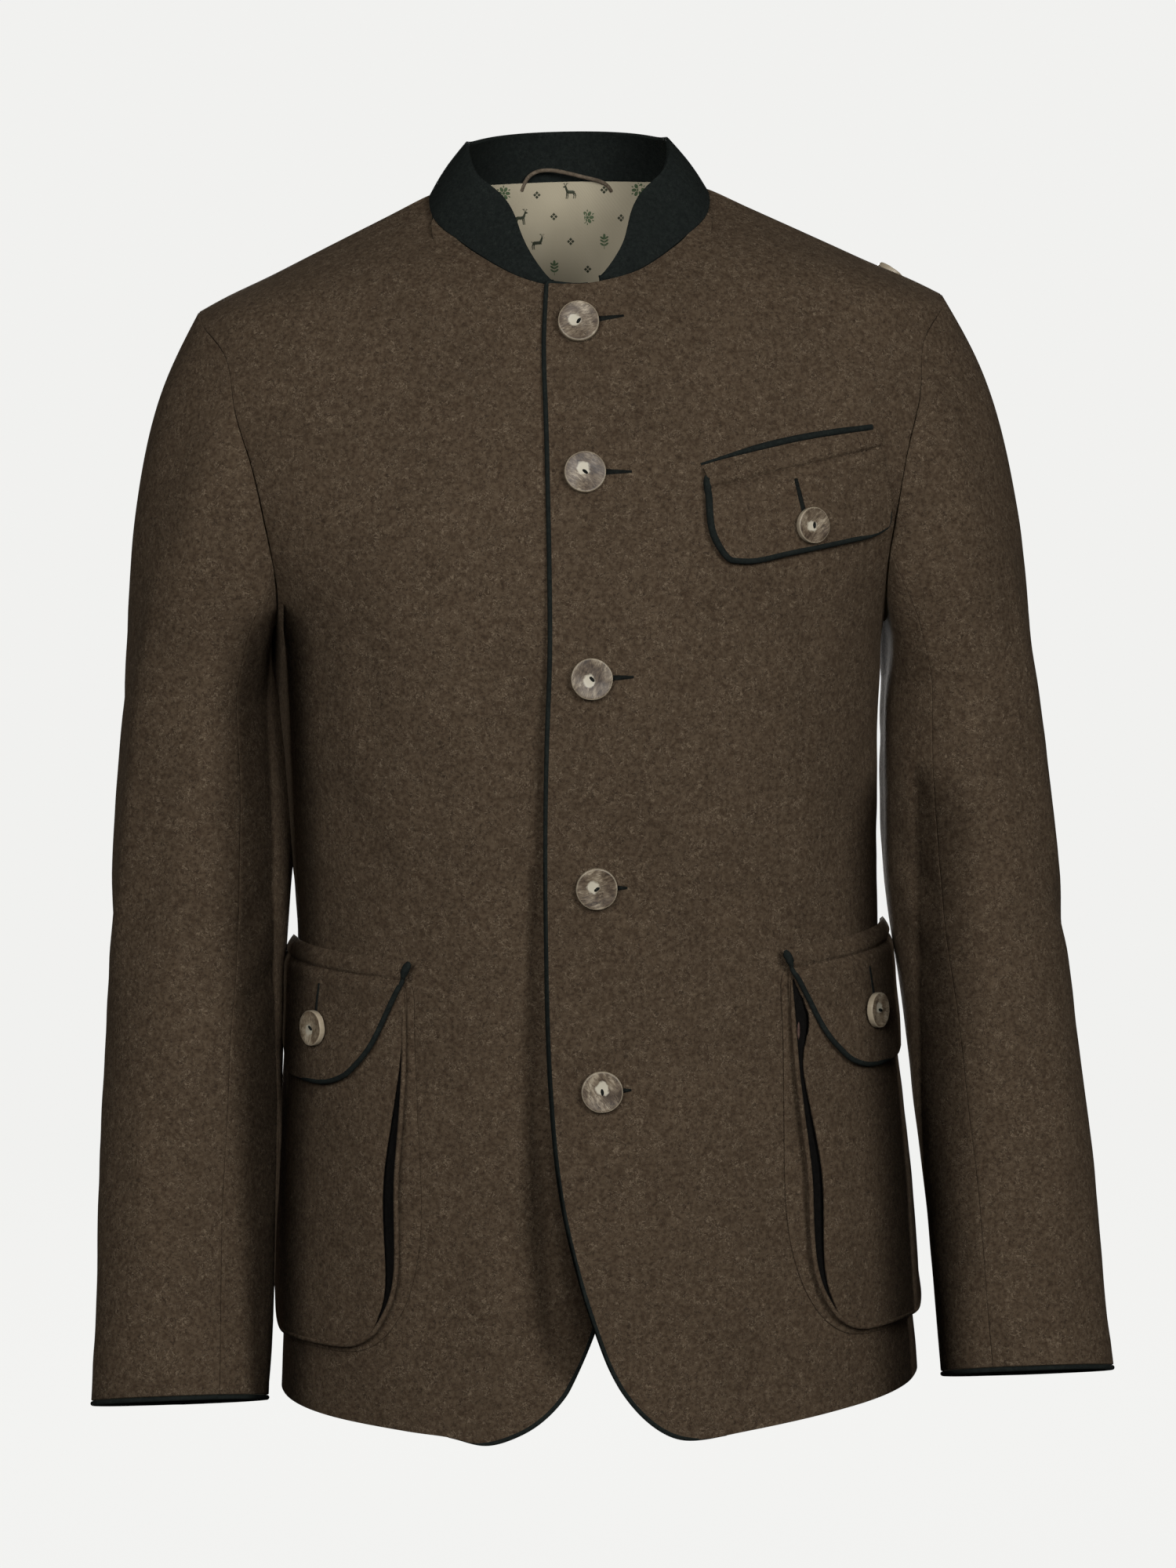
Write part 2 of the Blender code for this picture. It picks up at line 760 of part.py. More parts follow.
def sleeve_rings(side):
    """Rings of the sleeve's outer face from the armhole to the cuff."""
    edge, normals, inward = armhole_edge(side)
    count = len(edge)
    start = []
    for index in range(count):
        back_turn = max(0.0, -leaving(2 * math.pi * index / count, side).dot(inward[index]))
        apart = inward[index] * ARMHOLE_GAP * (1 - back_turn)
        start.append(edge[index] + apart + normals[index] * UNDERARM_GAP * back_turn)
    end = arm_ring(ARM[0], side, count)
    following = arm_ring(ARM[1], side, count)
    rings = []
    for row in range(CAP_ROWS):
        part = row / CAP_ROWS
        ring = []
        for index in range(count):
            turn = 2 * math.pi * index / count
            reach = (end[index] - start[index]).length
            first = leaving(turn, side) * reach
            last = (following[index] - end[index]).normalized() * reach
            point = (start[index] * (1 + 2 * part) * (1 - part) ** 2
                     + end[index] * part ** 2 * (3 - 2 * part)
                     + first * part * (1 - part) ** 2
                     - last * part ** 2 * (1 - part))
            ring.append(point)
        rings.append(ring)
    rings += [arm_ring(row, side, count) for row in ARM]
    return rings


def ring_normals(rings):
    """Outward normals of a tube of rings."""
    result = []
    rows = len(rings)
    count = len(rings[0])
    for row in range(rows):
        above = rings[max(row - 1, 0)]
        below = rings[min(row + 1, rows - 1)]
        centre = sum(rings[row], Vector()) / count
        line = []
        for index in range(count):
            around = rings[row][(index + 1) % count] - rings[row][index - 1]
            normal = around.cross(below[index] - above[index]).normalized()
            if normal.dot(rings[row][index] - centre) < 0:
                normal = -normal
            line.append(normal)
        result.append(line)
    return result


def fold_height(height, turn):
    """How far the soft folds of the cloth raise the sleeve here."""
    total = 0.0
    girth = 0.060
    for fold in SLEEVE_FOLDS:
        around = (turn - math.radians(fold.turn) + math.pi) % (2 * math.pi) - math.pi
        along = around * girth
        across = height - fold.height - fold.slope * along
        reach = (along / fold.length) ** 2 + (across / fold.width) ** 2
        total += fold.depth * math.exp(-reach * 2)
    return total


def add_sleeves(loden, piping):
    for side, word in ((1, "left"), (-1, "right")):
        outer = sleeve_rings(side)
        count = len(outer[0])
        normals = ring_normals(outer)
        for row in range(2, len(outer)):
            for index in range(count):
                turn = 2 * math.pi * index / count
                lift = fold_height(outer[row][index].z, turn)
                outer[row][index] = outer[row][index] + normals[row][index] * lift
        normals = ring_normals(outer)
        inner = [[point - normal * CLOTH for point, normal in zip(*lines)]
                 for lines in zip(outer, normals)]
        inward = armhole_edge(side)[2]
        for index in range(count):
            into = -normals[0][index]
            into = into - inward[index] * min(0.0, into.dot(inward[index]))
            inner[0][index] = outer[0][index] + into.normalized() * CLOTH
        front_seam = round(count * 0.33)
        hind_seam = round(count * 0.72)
        top_columns = list(range(hind_seam, count)) + list(range(front_seam + 1))
        under_columns = list(range(front_seam, hind_seam + 1))
        for name, columns in (("top_sleeve_", top_columns), ("under_sleeve_", under_columns)):
            outer_part = [[ring[index] for index in columns] for ring in outer]
            inner_part = [[ring[index] for index in columns] for ring in inner]
            pull_in(outer_part, left=True, right=True)
            pull_in(inner_part, left=True, right=True)
            add_wall(name + word, outer_part, inner_part, loden)
        along = [(outer[-1][index] - outer[-2][index]).normalized() for index in range(count)]
        path = []
        outward = []
        for index in range(count):
            middle = (outer[-1][index] + inner[-1][index]) / 2
            path.append(middle + along[index] * (PIPING_RADIUS + SEAM_GAP))
            outward.append(normals[-1][index])
        rings = tube_sections(path, outward, PIPING_RADIUS, closed=True)
        add_sweep("cuff_piping_" + word, rings, piping, closed=True)


# ---------------------------------------------------------------- collar, lining and hanger loop

def collar_rise(angle):
    share = (abs(angle) - COLLAR_END_ANGLE) / (COLLAR_FULL_ANGLE - COLLAR_END_ANGLE)
    return mix(COLLAR_END_HEIGHT, COLLAR_HEIGHT, min(max(share, 0.0), 1.0))


def collar_direction(angle):
    """Slant of the band: most inward over the shoulders, steep at the back."""
    sideways = -0.60 * math.sin(angle)
    backward = 0.24 * math.cos(angle)
    if math.cos(angle) < 0:
        backward = 0.20 * math.cos(angle)
    return Vector((sideways, backward, 0.80)).normalized()


def front_neck(grid, side, lifted):
    """Neck edge of a front from the shoulder to where the collar ends: angle, outer, inner."""
    line = []
    for angle, height in grid[-1][NECK_COLUMNS::-1]:
        lift = lap_lift(angle) if lifted else 0.0
        outer = body_point(side * angle, height, lift)
        line.append((side * angle, outer, body_point(side * angle, height, lift - CLOTH)))
    for index, (before, after) in enumerate(zip(line, line[1:])):
        if side * after[0] < COLLAR_END_ANGLE:
            share = (side * before[0] - COLLAR_END_ANGLE) / (side * (before[0] - after[0]))
            end = tuple(mix(first, second, share) for first, second in zip(before, after))
            return line[:index + 1] + [end]
    return line


def neck_stations(over, under, back):
    """Stations of the collar's seam from its right end round the back to its left end."""
    places = back[-1][BACK_NECK_COLUMNS - 1::-1]
    back_left = [(angle, body_point(angle, height), body_point(angle, height, -CLOTH))
                 for angle, height in places]
    places = back[-1][1:BACK_NECK_COLUMNS]
    back_right = [(-angle, body_point(-angle, height), body_point(-angle, height, -CLOTH))
                  for angle, height in places]
    return (front_neck(under, -1, False)[::-1] + back_right[::-1] + back_left[::-1]
            + front_neck(over, 1, True))


def add_collar(over, under, back, cloth):
    levels = 3
    outer = [[] for level in range(levels + 1)]
    inner = [[] for level in range(levels + 1)]
    stations = neck_stations(over, under, back)
    for index, (angle, seam_outer, seam_inner) in enumerate(stations):
        before = stations[max(index - 1, 0)][1]
        after = stations[min(index + 1, len(stations) - 1)][1]
        along = (after - before).normalized()
        lean = collar_direction(angle)
        lean = (lean - along * lean.dot(along) * COLLAR_SQUARENESS).normalized()
        facing = lean.cross(along).normalized()
        for level in range(levels + 1):
            share = level / levels
            up = lean * (COLLAR_GAP + collar_rise(angle) * share)
            swell = facing * (COLLAR_CLOTH - CLOTH) * smooth_step(share * 3) / 2
            bow = facing * 0.0012 * math.sin(math.pi * share)
            outer[level].append(seam_outer + up + swell + bow)
            inner_point = seam_outer + up - facing * COLLAR_CLOTH + swell + bow
            inner[level].append(seam_inner + up if level == 0 else inner_point)
    add_wall("collar", outer, inner, cloth)


def lining_slack(height):
    return 0.0010 + 0.0035 * smooth_step(-height / 0.060)


def lining_outer(angle, height):
    return -(CLOTH + SEAM_GAP + lining_slack(height))


def lining_inner(angle, height):
    return lining_outer(angle, height) - LINING_CLOTH - pleat_depth(angle, height)


def pleat_depth(angle, height):
    """The centre-back ease pleat stands a little inward of the rest."""
    return 0.0012 * smooth_step((math.radians(9.0) - (math.pi - abs(angle))) / math.radians(5.0))


def add_lining(cloth):
    """Back lining in one piece from side seam to side seam, free of the hem."""
    rows = 12
    columns = 7
    top_gap = 0.0006
    hem_gap = 0.020
    side_turn = SIDE_SEAM_ANGLE + math.radians(1.0)
    arm = [(angle, height) for angle, height in armhole_places(ARMHOLE_BACK)[::-1]]
    arm = [(angle + math.radians(1.4), height - 0.0025) for angle, height in arm]
    side = [(side_turn, hem_height(SIDE_SEAM_ANGLE) + hem_gap), (side_turn, arm[0][1])]
    right = side + arm[1:]
    bottom = []
    neck = []
    for share in even(20):
        angle = mix(math.pi, side_turn, share)
        bottom.append((angle, hem_height(angle) + hem_gap))
        angle = mix(math.pi, math.radians(91.5), share)
        neck.append((angle, neckline_height(angle) - top_gap))
    tip = (math.radians(91.5), arm[-1][1])
    shoulder = [(math.radians(91.5), mix(neck[-1][1], tip[1], share)) for share in even(10)[1:]]
    right[-1] = tip
    centre = [(math.pi, mix(bottom[0][1], neck[0][1], share)) for share in even(rows)]
    flat_bottom = resample([to_flat(place, True) for place in bottom], even(columns))
    flat_top = resample([to_flat(place, True) for place in neck + shoulder], even(columns))
    flat_left = [to_flat(place, True) for place in centre]
    flat_right = resample([to_flat(place, True) for place in right], even(rows))
    flat = fill_patch(flat_bottom, flat_top, flat_left, flat_right)
    half = [[from_flat(point, True) for point in line] for line in flat]
    left_outer = layer(half, 1, lining_outer)
    left_inner = layer(half, 1, lining_inner)
    right_outer = layer(half, -1, lining_outer)
    right_inner = layer(half, -1, lining_inner)
    outer = [r[:0:-1] + l for r, l in zip(right_outer, left_outer)]
    inner = [r[:0:-1] + l for r, l in zip(right_inner, left_inner)]
    add_wall("lining_back", outer, inner, cloth)


# Hanger loop inside the back of the neck: distance to the wearer's left, towards the back, height
HANGER_ROUTE = [
    (-0.0260, 0.0594, 0.0050),
    (-0.0235, 0.0568, 0.0120),
    (-0.0170, 0.0560, 0.0165),
    (-0.0080, 0.0556, 0.0172),
    (0.0030, 0.0556, 0.0148),
    (0.0130, 0.0558, 0.0120),
    (0.0215, 0.0565, 0.0100),
    (0.0270, 0.0572, 0.0070),
    (0.0290, 0.0588, 0.0035),
]


def add_hanger_loop(cloth):
    curve = bpy.data.curves.new("hanger_loop", "CURVE")
    curve.dimensions = "3D"
    curve.bevel_depth = LOOP_RADIUS
    curve.bevel_resolution = 2
    curve.use_fill_caps = True
    route = smooth_run(HANGER_ROUTE, 3)
    spline = curve.splines.new("POLY")
    spline.points.add(len(route) - 1)
    for point, place in zip(spline.points, route):
        point.co = (*place, 1.0)
    curve.materials.append(cloth)
    loop = bpy.data.objects.new("hanger_loop", curve)
    bpy.context.scene.collection.objects.link(loop)


# ---------------------------------------------------------------- pockets

def pouch_share(angle):
    """0 at the pocket's front edge, 1 at its rear edge."""
    front = math.radians(43.0)
    return min(max((angle - front) / (POUCH_REAR_ANGLE - front), 0.0), 1.0)


def pouch_out(angle, height):
    stand = smooth_value(POUCH_STAND, "height", "out", height)
    return stand * mix(1.0, POUCH_REAR_SHARE, smooth_step(pouch_share(angle) * 1.4))


def pouch_inner(angle, height):
    return pouch_out(angle, height) - POUCH_CLOTH


def pouch_base():
    """The line on which the pocket is sewn to the body, as flat points: front, round, rear."""
    front_run = []
    steps = 10
    corner_top = -0.585
    corner_reach = 0.052
    for share in even(steps):
        height = mix(POUCH_MOUTH_HEIGHT, corner_top, share)
        front_run.append(to_flat((angle_at(POUCH_FRONT, height), height), False))
    centre_girth = front_run[-1][0] + corner_reach
    depth = corner_top - POUCH_BOTTOM_HEIGHT
    corner = []
    for share in even(12)[1:]:
        turn = share * math.pi / 2
        round_power = 0.86
        across = math.cos(turn) ** round_power * corner_reach
        down = math.sin(turn) ** round_power * depth
        corner.append((centre_girth - across, corner_top - down))
    rear_run = []
    for share in even(steps):
        height = mix(POUCH_MOUTH_HEIGHT, corner_top - 0.02, share)
        rear_run.append(to_flat((POUCH_REAR_ANGLE, height), False))
    rear_reach = 0.040
    rear_depth = corner_top - 0.02 - POUCH_BOTTOM_HEIGHT
    rear_centre = rear_run[-1][0] - rear_reach
    rear_corner = []
    for share in even(12)[1:]:
        turn = share * math.pi / 2
        across = math.cos(turn) * rear_reach
        down = math.sin(turn) * rear_depth
        rear_corner.append((rear_centre + across, corner_top - 0.02 - down))
    return front_run + corner + rear_corner[::-1] + rear_run[::-1]


def inset_line(line, amounts):
    """Move each point of a flat line to its left by its own amount."""
    moved = []
    for index, point in enumerate(line):
        before = line[max(index - 1, 0)]
        after = line[min(index + 1, len(line) - 1)]
        along = (after[0] - before[0], after[1] - before[1])
        length = math.hypot(*along)
        left = (-along[1] / length, along[0] / length)
        moved.append((point[0] + left[0] * amounts[index], point[1] + left[1] * amounts[index]))
    return moved


def gape(height, share):
    """Distance of the panel's edge from the sewn line: the gusset gapes in the lower middle."""
    open_part = math.exp(-((height + 0.590) / 0.052) ** 2)
    front_part = 1 - smooth_step((share - 0.45) / 0.2)
    return POUCH_INSET * 0.55 + 0.0070 * open_part * mix(0.25, 1.0, front_part)


def split_corner(line, top_share, corner_share):
    """Split the pocket's line into left edge, bottom and right edge."""
    count = len(line)
    first = round(count * top_share)
    last = round(count * corner_share)
    return line[:first + 1], line[first:last + 1], line[last:]


def pouch_grid():
    base = pouch_base()
    shares = fractions(base)
    amounts = [gape(point[1], share) for point, share in zip(base, shares)]
    edge = inset_line(base, amounts)
    left, bottom, right = split_corner(edge, 0.40, 0.62)
    rows = 9
    columns = 8
    left = resample(left[::-1], even(rows))
    right = resample(right, even(rows))
    bottom = resample(bottom, even(columns))
    top = resample([left[-1], right[-1]], even(columns))
    return [[from_flat(point, False) for point in line]
            for line in fill_patch(bottom, top, left, right)]


def add_pouch(side, word, loden):
    grid = pouch_grid()
    add_wall("pocket_" + word, layer(grid, side, pouch_out), layer(grid, side, pouch_inner), loden)


def add_gusset(side, word, loden):
    """Folded strip between the sewn line and the panel's edge, open towards the outside."""
    stations = 26
    base = pouch_base()
    line = resample(base, even(stations))
    shares = fractions(line)
    amounts = [gape(point[1], share) for point, share in zip(line, shares)]
    half = GUSSET_CLOTH / 2
    tuck = 0.0085
    sewn = inset_line(line, [0.0004] * len(line))
    fold = inset_line(line, [amount + tuck for amount in amounts])
    edge = inset_line(line, [amount + 0.0008 for amount in amounts])
    inner_fold = inset_line(line, [amount + tuck - 0.0016 for amount in amounts])
    sections = []
    for index in range(len(line)):
        edge_place = from_flat(edge[index], False)
        top = pouch_inner(*edge_place) - 2 * SEAM_GAP
        middle = (top + GUSSET_GAP) / 2
        ring = [
            (sewn[index], GUSSET_GAP),
            (fold[index], middle - half * 0.9),
            (fold[index], middle + half * 0.9),
            (edge[index], top),
            (edge[index], top - GUSSET_CLOTH),
            (inner_fold[index], middle),
            (sewn[index], GUSSET_GAP + GUSSET_CLOTH),
        ]
        points = []
        for flat, out in ring:
            angle, height = from_flat(flat, False)
            points.append(body_point(side * angle, height, out))
        sections.append(points)
    add_sweep("gusset_" + word, sections, loden)


def flap_out(angle, height):
    """Inner face of the lower flap: sewn to the body at the top, over the pouch below."""
    down = smooth_step((FLAP_TOP_REAR_HEIGHT - height) / 0.022)
    stand = pouch_out(angle, min(height, POUCH_MOUTH_HEIGHT)) + FLAP_GAP
    kick = 0.0022 * smooth_step((-0.475 - height) / 0.040) * (1 - pouch_share(angle)) ** 0.5
    return mix(FLAP_SEAM_GAP, stand + kick, down)


def flap_outer(angle, height):
    return flap_out(angle, height) + FLAP_CLOTH


def rounded_corner(before, corner, after, reach, steps=6):
    """Round a corner of a flat outline between points that lie the reach away from it."""
    start = [corner[axis] + (before[axis] - corner[axis]) * reach / math.dist(before, corner)
             for axis in (0, 1)]
    end = [corner[axis] + (after[axis] - corner[axis]) * reach / math.dist(after, corner)
           for axis in (0, 1)]
    points = []
    for step in range(steps + 1):
        part = step / steps
        points.append(tuple(
            start[axis] * (1 - part) ** 2 + corner[axis] * 2 * part * (1 - part)
            + end[axis] * part ** 2 for axis in (0, 1)))
    return points


def flap_outline():
    """Flat outline of the lower flap: down the front, along the bottom, up the rear."""
    front_top = to_flat((angle_at(0.1045, FLAP_TOP_FRONT_HEIGHT), FLAP_TOP_FRONT_HEIGHT), False)
    rear_angle = math.radians(90.0)
    rear_top = to_flat((rear_angle, FLAP_TOP_REAR_HEIGHT), False)
    low_front = to_flat((math.radians(56.0), FLAP_BOTTOM_HEIGHT), False)
    low_rear = to_flat((math.radians(78.0), FLAP_BOTTOM_HEIGHT + 0.001), False)
    middle = ((low_front[0] + low_rear[0]) / 2, FLAP_BOTTOM_HEIGHT - 0.0006)
    line = [front_top]
    line += rounded_corner(front_top, low_front, middle, 0.027)
    line += rounded_corner(middle, low_rear, rear_top, 0.018)
    line.append(rear_top)
    return line


def flap_grid(outline, columns, rows, top_points):
    """Grid between an outline and its top edge; the outline's round corners become grid corners."""
    left, bottom, right = split_corner(outline, 0.26, 0.70)
    left = resample(left[::-1], even(rows))
    right = resample(right, even(rows))
    bottom = resample(bottom, even(columns))
    top = resample(top_points, even(columns))
    return [[from_flat(point, False) for point in line]
            for line in fill_patch(bottom, top, left, right)]


def border_places(grid, hem_columns, full):
    """Places along a grid's border with a place further in: left side, bottom and right side."""
    rows = len(grid)
    last = len(grid[0]) - 1
    if full:
        places = [(grid[row][0], grid[row][1]) for row in range(rows - 1, 0, -1)]
        places += [(grid[0][column], grid[1][min(max(column, 1), last - 1)])
                   for column in range(last + 1)]
        places += [(grid[row][last], grid[row][last - 1]) for row in range(1, rows)]
        return places
    places = [(grid[0][column], grid[1][column]) for column in range(hem_columns, 0, -1)]
    places += [(grid[row][0], grid[max(row, 1)][1]) for row in range(rows)]
    return places


def add_piping(name, places, side, outer_out, inner_out, radius, depth, finish):
    """Covered cord along a wall's border."""
    edge = [place for place, further in places]
    inside = [further for place, further in places]
    outer = layer([edge], side, outer_out)[0]
    inner = layer([edge], side, inner_out)[0]
    within = layer([inside], side, outer_out)[0]
    path, outward = border_path(outer, inner, within, radius + SEAM_GAP, depth)
    add_sweep(name, tube_sections(path, outward, radius), finish)


def add_flap(side, word, loden, piping):
    outline = flap_outline()
    grid = flap_grid(outline, 8, 4, [outline[0], outline[-1]])
    add_wall("flap_" + word, layer(grid, side, flap_outer), layer(grid, side, flap_out), loden)
    add_piping("flap_piping_" + word, border_places(grid, 0, True), side, flap_outer, flap_out,
               FLAP_PIPING_RADIUS, FLAP_CLOTH / 2, piping)


def breast_out(angle, height):
    return lap_lift(angle) + BREAST_GAP + 0.0016 * smooth_step((-0.160 - height) / 0.050)


def breast_outer(angle, height):
    return breast_out(angle, height) + FLAP_CLOTH


def add_breast_pocket(loden, piping):
    corners = [to_flat((angle_at(across, height), height), False)
               for across, height in (BREAST_TOP_INNER, BREAST_LOW_INNER,
                                      BREAST_LOW_OUTER, BREAST_TOP_OUTER)]
    line = [corners[0]]
    line += rounded_corner(corners[0], corners[1], corners[2], 0.014)
    line += rounded_corner(corners[1], corners[2], corners[3], 0.012)
    line.append(corners[3])
    grid = flap_grid(line, 8, 4, [corners[0], corners[3]])
    add_wall("breast_flap", layer(grid, 1, breast_outer), layer(grid, 1, breast_out), loden)
    add_piping("breast_flap_piping", border_places(grid, 0, True)[:-1], 1, breast_outer,
               breast_out, FLAP_PIPING_RADIUS, FLAP_CLOTH / 2, piping)
    path = []
    outward = []
    for share in even(9):
        flat = [mix(corners[0][axis], corners[3][axis], share) for axis in (0, 1)]
        angle, height = from_flat(flat, False)
        rise = STRIPE_RADIUS + SEAM_GAP
        path.append(body_point(angle, height + rise, lap_lift(angle) + SEAM_GAP + STRIPE_RADIUS))
        outward.append(Vector((0.0, 0.0, 1.0)))
    rings = tube_sections(path, outward, STRIPE_RADIUS, sides=6)
    add_sweep("breast_stripe", rings, piping)


# ---------------------------------------------------------------- buttons

def add_button(name, seat, facing, radius, finish):
    """Turned horn button: flat back, raised rim and a hollow round the holes."""
    segments = 14
    thick = BUTTON_THICKNESS * radius / FRONT_BUTTON_RADIUS
    profile = [
        (radius * 0.90, 0.0),
        (radius, thick * 0.35),
        (radius * 0.96, thick * 0.86),
        (radius * 0.86, thick),
        (radius * 0.70, thick * 0.88),
        (radius * 0.36, thick * 0.90),
    ]
    across = facing.orthogonal().normalized()
    other = facing.cross(across)
    points = []
    for distance, out in profile:
        for segment in range(segments):
            turn = 2 * math.pi * segment / segments
            around = across * math.cos(turn) + other * math.sin(turn)
            points.append(seat + around * distance + facing * out)
    faces = []
    for ring in range(len(profile) - 1):
        for segment in range(segments):
            after = (segment + 1) % segments
            faces.append((ring * segments + segment, ring * segments + after,
                          (ring + 1) * segments + after, (ring + 1) * segments + segment))
    points.append(seat)
    points.append(seat + facing * thick * 0.62)
    last = (len(profile) - 1) * segments
    for segment in range(segments):
        after = (segment + 1) % segments
        faces.append((segment, len(points) - 2, after))
        faces.append((last + segment, last + after, len(points) - 1))
    add_object(name, points, faces, finish)


def add_buttons(horn):
    for number, height in enumerate(FRONT_BUTTON_HEIGHTS, start=1):
        facing = body_normal(0.0, height)
        seat = body_point(0.0, height, lap_lift(0.0) + BUTTON_GAP)
        add_button("front_button_%d" % number, seat, facing, FRONT_BUTTON_RADIUS, horn)
    for side, word in ((1, "left"), (-1, "right")):
        angle = FLAP_BUTTON_ANGLE
        out = flap_outer(angle, FLAP_BUTTON_HEIGHT) + POCKET_BUTTON_GAP
        seat = body_point(side * angle, FLAP_BUTTON_HEIGHT, out)
        facing = body_normal(side * angle, FLAP_BUTTON_HEIGHT)
        add_button("pocket_button_" + word, seat, facing, POCKET_BUTTON_RADIUS, horn)
    across, height = BREAST_BUTTON
    angle = angle_at(across, height)
    seat = body_point(angle, height, breast_outer(angle, height) + BUTTON_GAP)
    add_button("breast_button", seat, body_normal(angle, height), POCKET_BUTTON_RADIUS, horn)
    seat = body_point(SHOULDER_BUTTON_ANGLE, SHOULDER_BUTTON_HEIGHT, SHOULDER_BUTTON_GAP)
    facing = body_normal(SHOULDER_BUTTON_ANGLE, SHOULDER_BUTTON_HEIGHT)
    add_button("shoulder_button", seat, facing, SHOULDER_BUTTON_RADIUS, horn)


# ---------------------------------------------------------------- the jacket

def main():
    for thing in list(bpy.data.objects):
        bpy.data.objects.remove(thing, do_unlink=True)
    loden = material("loden", (0.065, 0.047, 0.030), 0.95)
    green = material("green_cloth", (0.013, 0.019, 0.017), 0.90)
    horn = material("horn", (0.200, 0.155, 0.105), 0.45)
    lining = material("lining", (0.380, 0.330, 0.230), 0.60)
    tape = material("hanger_tape", (0.110, 0.080, 0.055), 0.80)
    over, under, back = add_body(loden)
    add_sleeves(loden, green)
    add_collar(over, under, back, green)
    add_lining(lining)
    add_hanger_loop(tape)
    add_piping("front_piping_left", border_places(over, 4, False), 1, over_lift, over_inner,
               PIPING_RADIUS, OVER_PIPING_DEPTH, green)
    add_piping("front_piping_right", border_places(under, 4, False), -1, 0.0, -CLOTH,
               PIPING_RADIUS, UNDER_PIPING_DEPTH, green)
    for side, word in ((1, "left"), (-1, "right")):
        add_pouch(side, word, loden)
        add_gusset(side, word, loden)
        add_flap(side, word, loden, green)
    add_breast_pocket(loden, green)
    add_buttons(horn)


main()
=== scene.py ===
# %% [markdown]
# # Tyrolean loden jacket
# A hip-length jacket of felted wool cloth, held in the form it has on its wearer.
# Its panels are cut flat and sewn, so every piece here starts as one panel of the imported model,
# is made smooth, gets its creases and its thickness, and then its seams, pipings and buttons.

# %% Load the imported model
import math
from collections import namedtuple
from functools import partial

import bpy
from mathutils import Matrix, Quaternion, Vector, noise
from mathutils.bvhtree import BVHTree


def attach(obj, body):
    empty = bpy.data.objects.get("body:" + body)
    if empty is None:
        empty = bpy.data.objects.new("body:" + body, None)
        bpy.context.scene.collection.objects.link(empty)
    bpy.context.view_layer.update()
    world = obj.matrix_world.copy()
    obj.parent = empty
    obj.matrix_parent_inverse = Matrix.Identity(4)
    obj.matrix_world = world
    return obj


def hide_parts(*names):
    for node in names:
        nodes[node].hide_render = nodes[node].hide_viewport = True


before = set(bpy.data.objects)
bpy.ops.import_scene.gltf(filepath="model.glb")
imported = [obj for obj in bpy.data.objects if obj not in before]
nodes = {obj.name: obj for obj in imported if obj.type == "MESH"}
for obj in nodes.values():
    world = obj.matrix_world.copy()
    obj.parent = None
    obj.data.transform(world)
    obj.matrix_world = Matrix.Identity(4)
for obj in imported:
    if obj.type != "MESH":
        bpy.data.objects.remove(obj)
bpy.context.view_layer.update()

scene = bpy.context.scene
SIDES = ((1, "left"), (-1, "right"))
print("panels and trims:", len(nodes))

# %% [markdown]
# ## The view
# A long lens stands a little above the middle of the jacket and slightly to its right side.
# It comes first, because every later choice is judged through it.

# %% Camera
VIEW_TARGET = Vector((0.0025, 0.0, -0.355))
VIEW_DISTANCE = 2.70
VIEW_TURN = math.radians(-2.6)
VIEW_RISE = math.radians(3.8)
VIEW_ROLL = math.radians(1.5)
VIEW_LENS = 68.53
FILM_HEIGHT = 24
back = Vector((math.sin(VIEW_TURN) * math.cos(VIEW_RISE),
               -math.cos(VIEW_TURN) * math.cos(VIEW_RISE),
               math.sin(VIEW_RISE)))
bpy.ops.object.camera_add(location=VIEW_TARGET + back * VIEW_DISTANCE)
camera = bpy.context.object
camera.data.sensor_fit = 'VERTICAL'
camera.data.sensor_height = FILM_HEIGHT
camera.data.lens = VIEW_LENS
camera.rotation_mode = 'QUATERNION'
camera.rotation_quaternion = back.to_track_quat('Z', 'Y') @ Quaternion((0, 0, 1), -VIEW_ROLL)
scene.camera = camera
scene.view_settings.view_transform = 'Standard'
print("camera", [round(value, 3) for value in camera.location])

# %% [markdown]
# ## Hanger loop
# A short round cord is caught in the collar's seam at both ends, so that the jacket can hang
# on a hook. It is a curve with a round bevel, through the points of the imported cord.

# %% Hanger loop
HANGER_ROUTE = [
    (-0.0260, 0.0594, 0.0050), (-0.0235, 0.0568, 0.0120), (-0.0170, 0.0560, 0.0165),
    (-0.0080, 0.0556, 0.0172), (0.0030, 0.0556, 0.0148), (0.0130, 0.0558, 0.0120),
    (0.0215, 0.0565, 0.0100), (0.0270, 0.0572, 0.0070), (0.0290, 0.0588, 0.0035),
]
LOOP_THICKNESS = 0.0024
bpy.ops.curve.primitive_nurbs_path_add()
hanger = bpy.context.object
hanger.name = "hanger_cord"
line = hanger.data.splines[0]
line.points.add(len(HANGER_ROUTE) - len(line.points))
for point, place in zip(line.points, HANGER_ROUTE):
    point.co = (*place, 1)
line.order_u = 3
line.use_endpoint_u = True
hanger.data.bevel_depth = LOOP_THICKNESS / 2
hanger.data.bevel_resolution = 4
hanger.data.use_fill_caps = True

# %% [markdown]
# ## Materials
# Loden is wool cloth that was fulled until it felted. From close by it is a tangle of curly
# fibres in three or four browns, so its colour is built of soft spots and of thin bent lines,
# which are the places where a cloud of noise passes one level.

# %% A plain finish
def finish_of(made):
    return made.node_tree.nodes["Principled BSDF"]


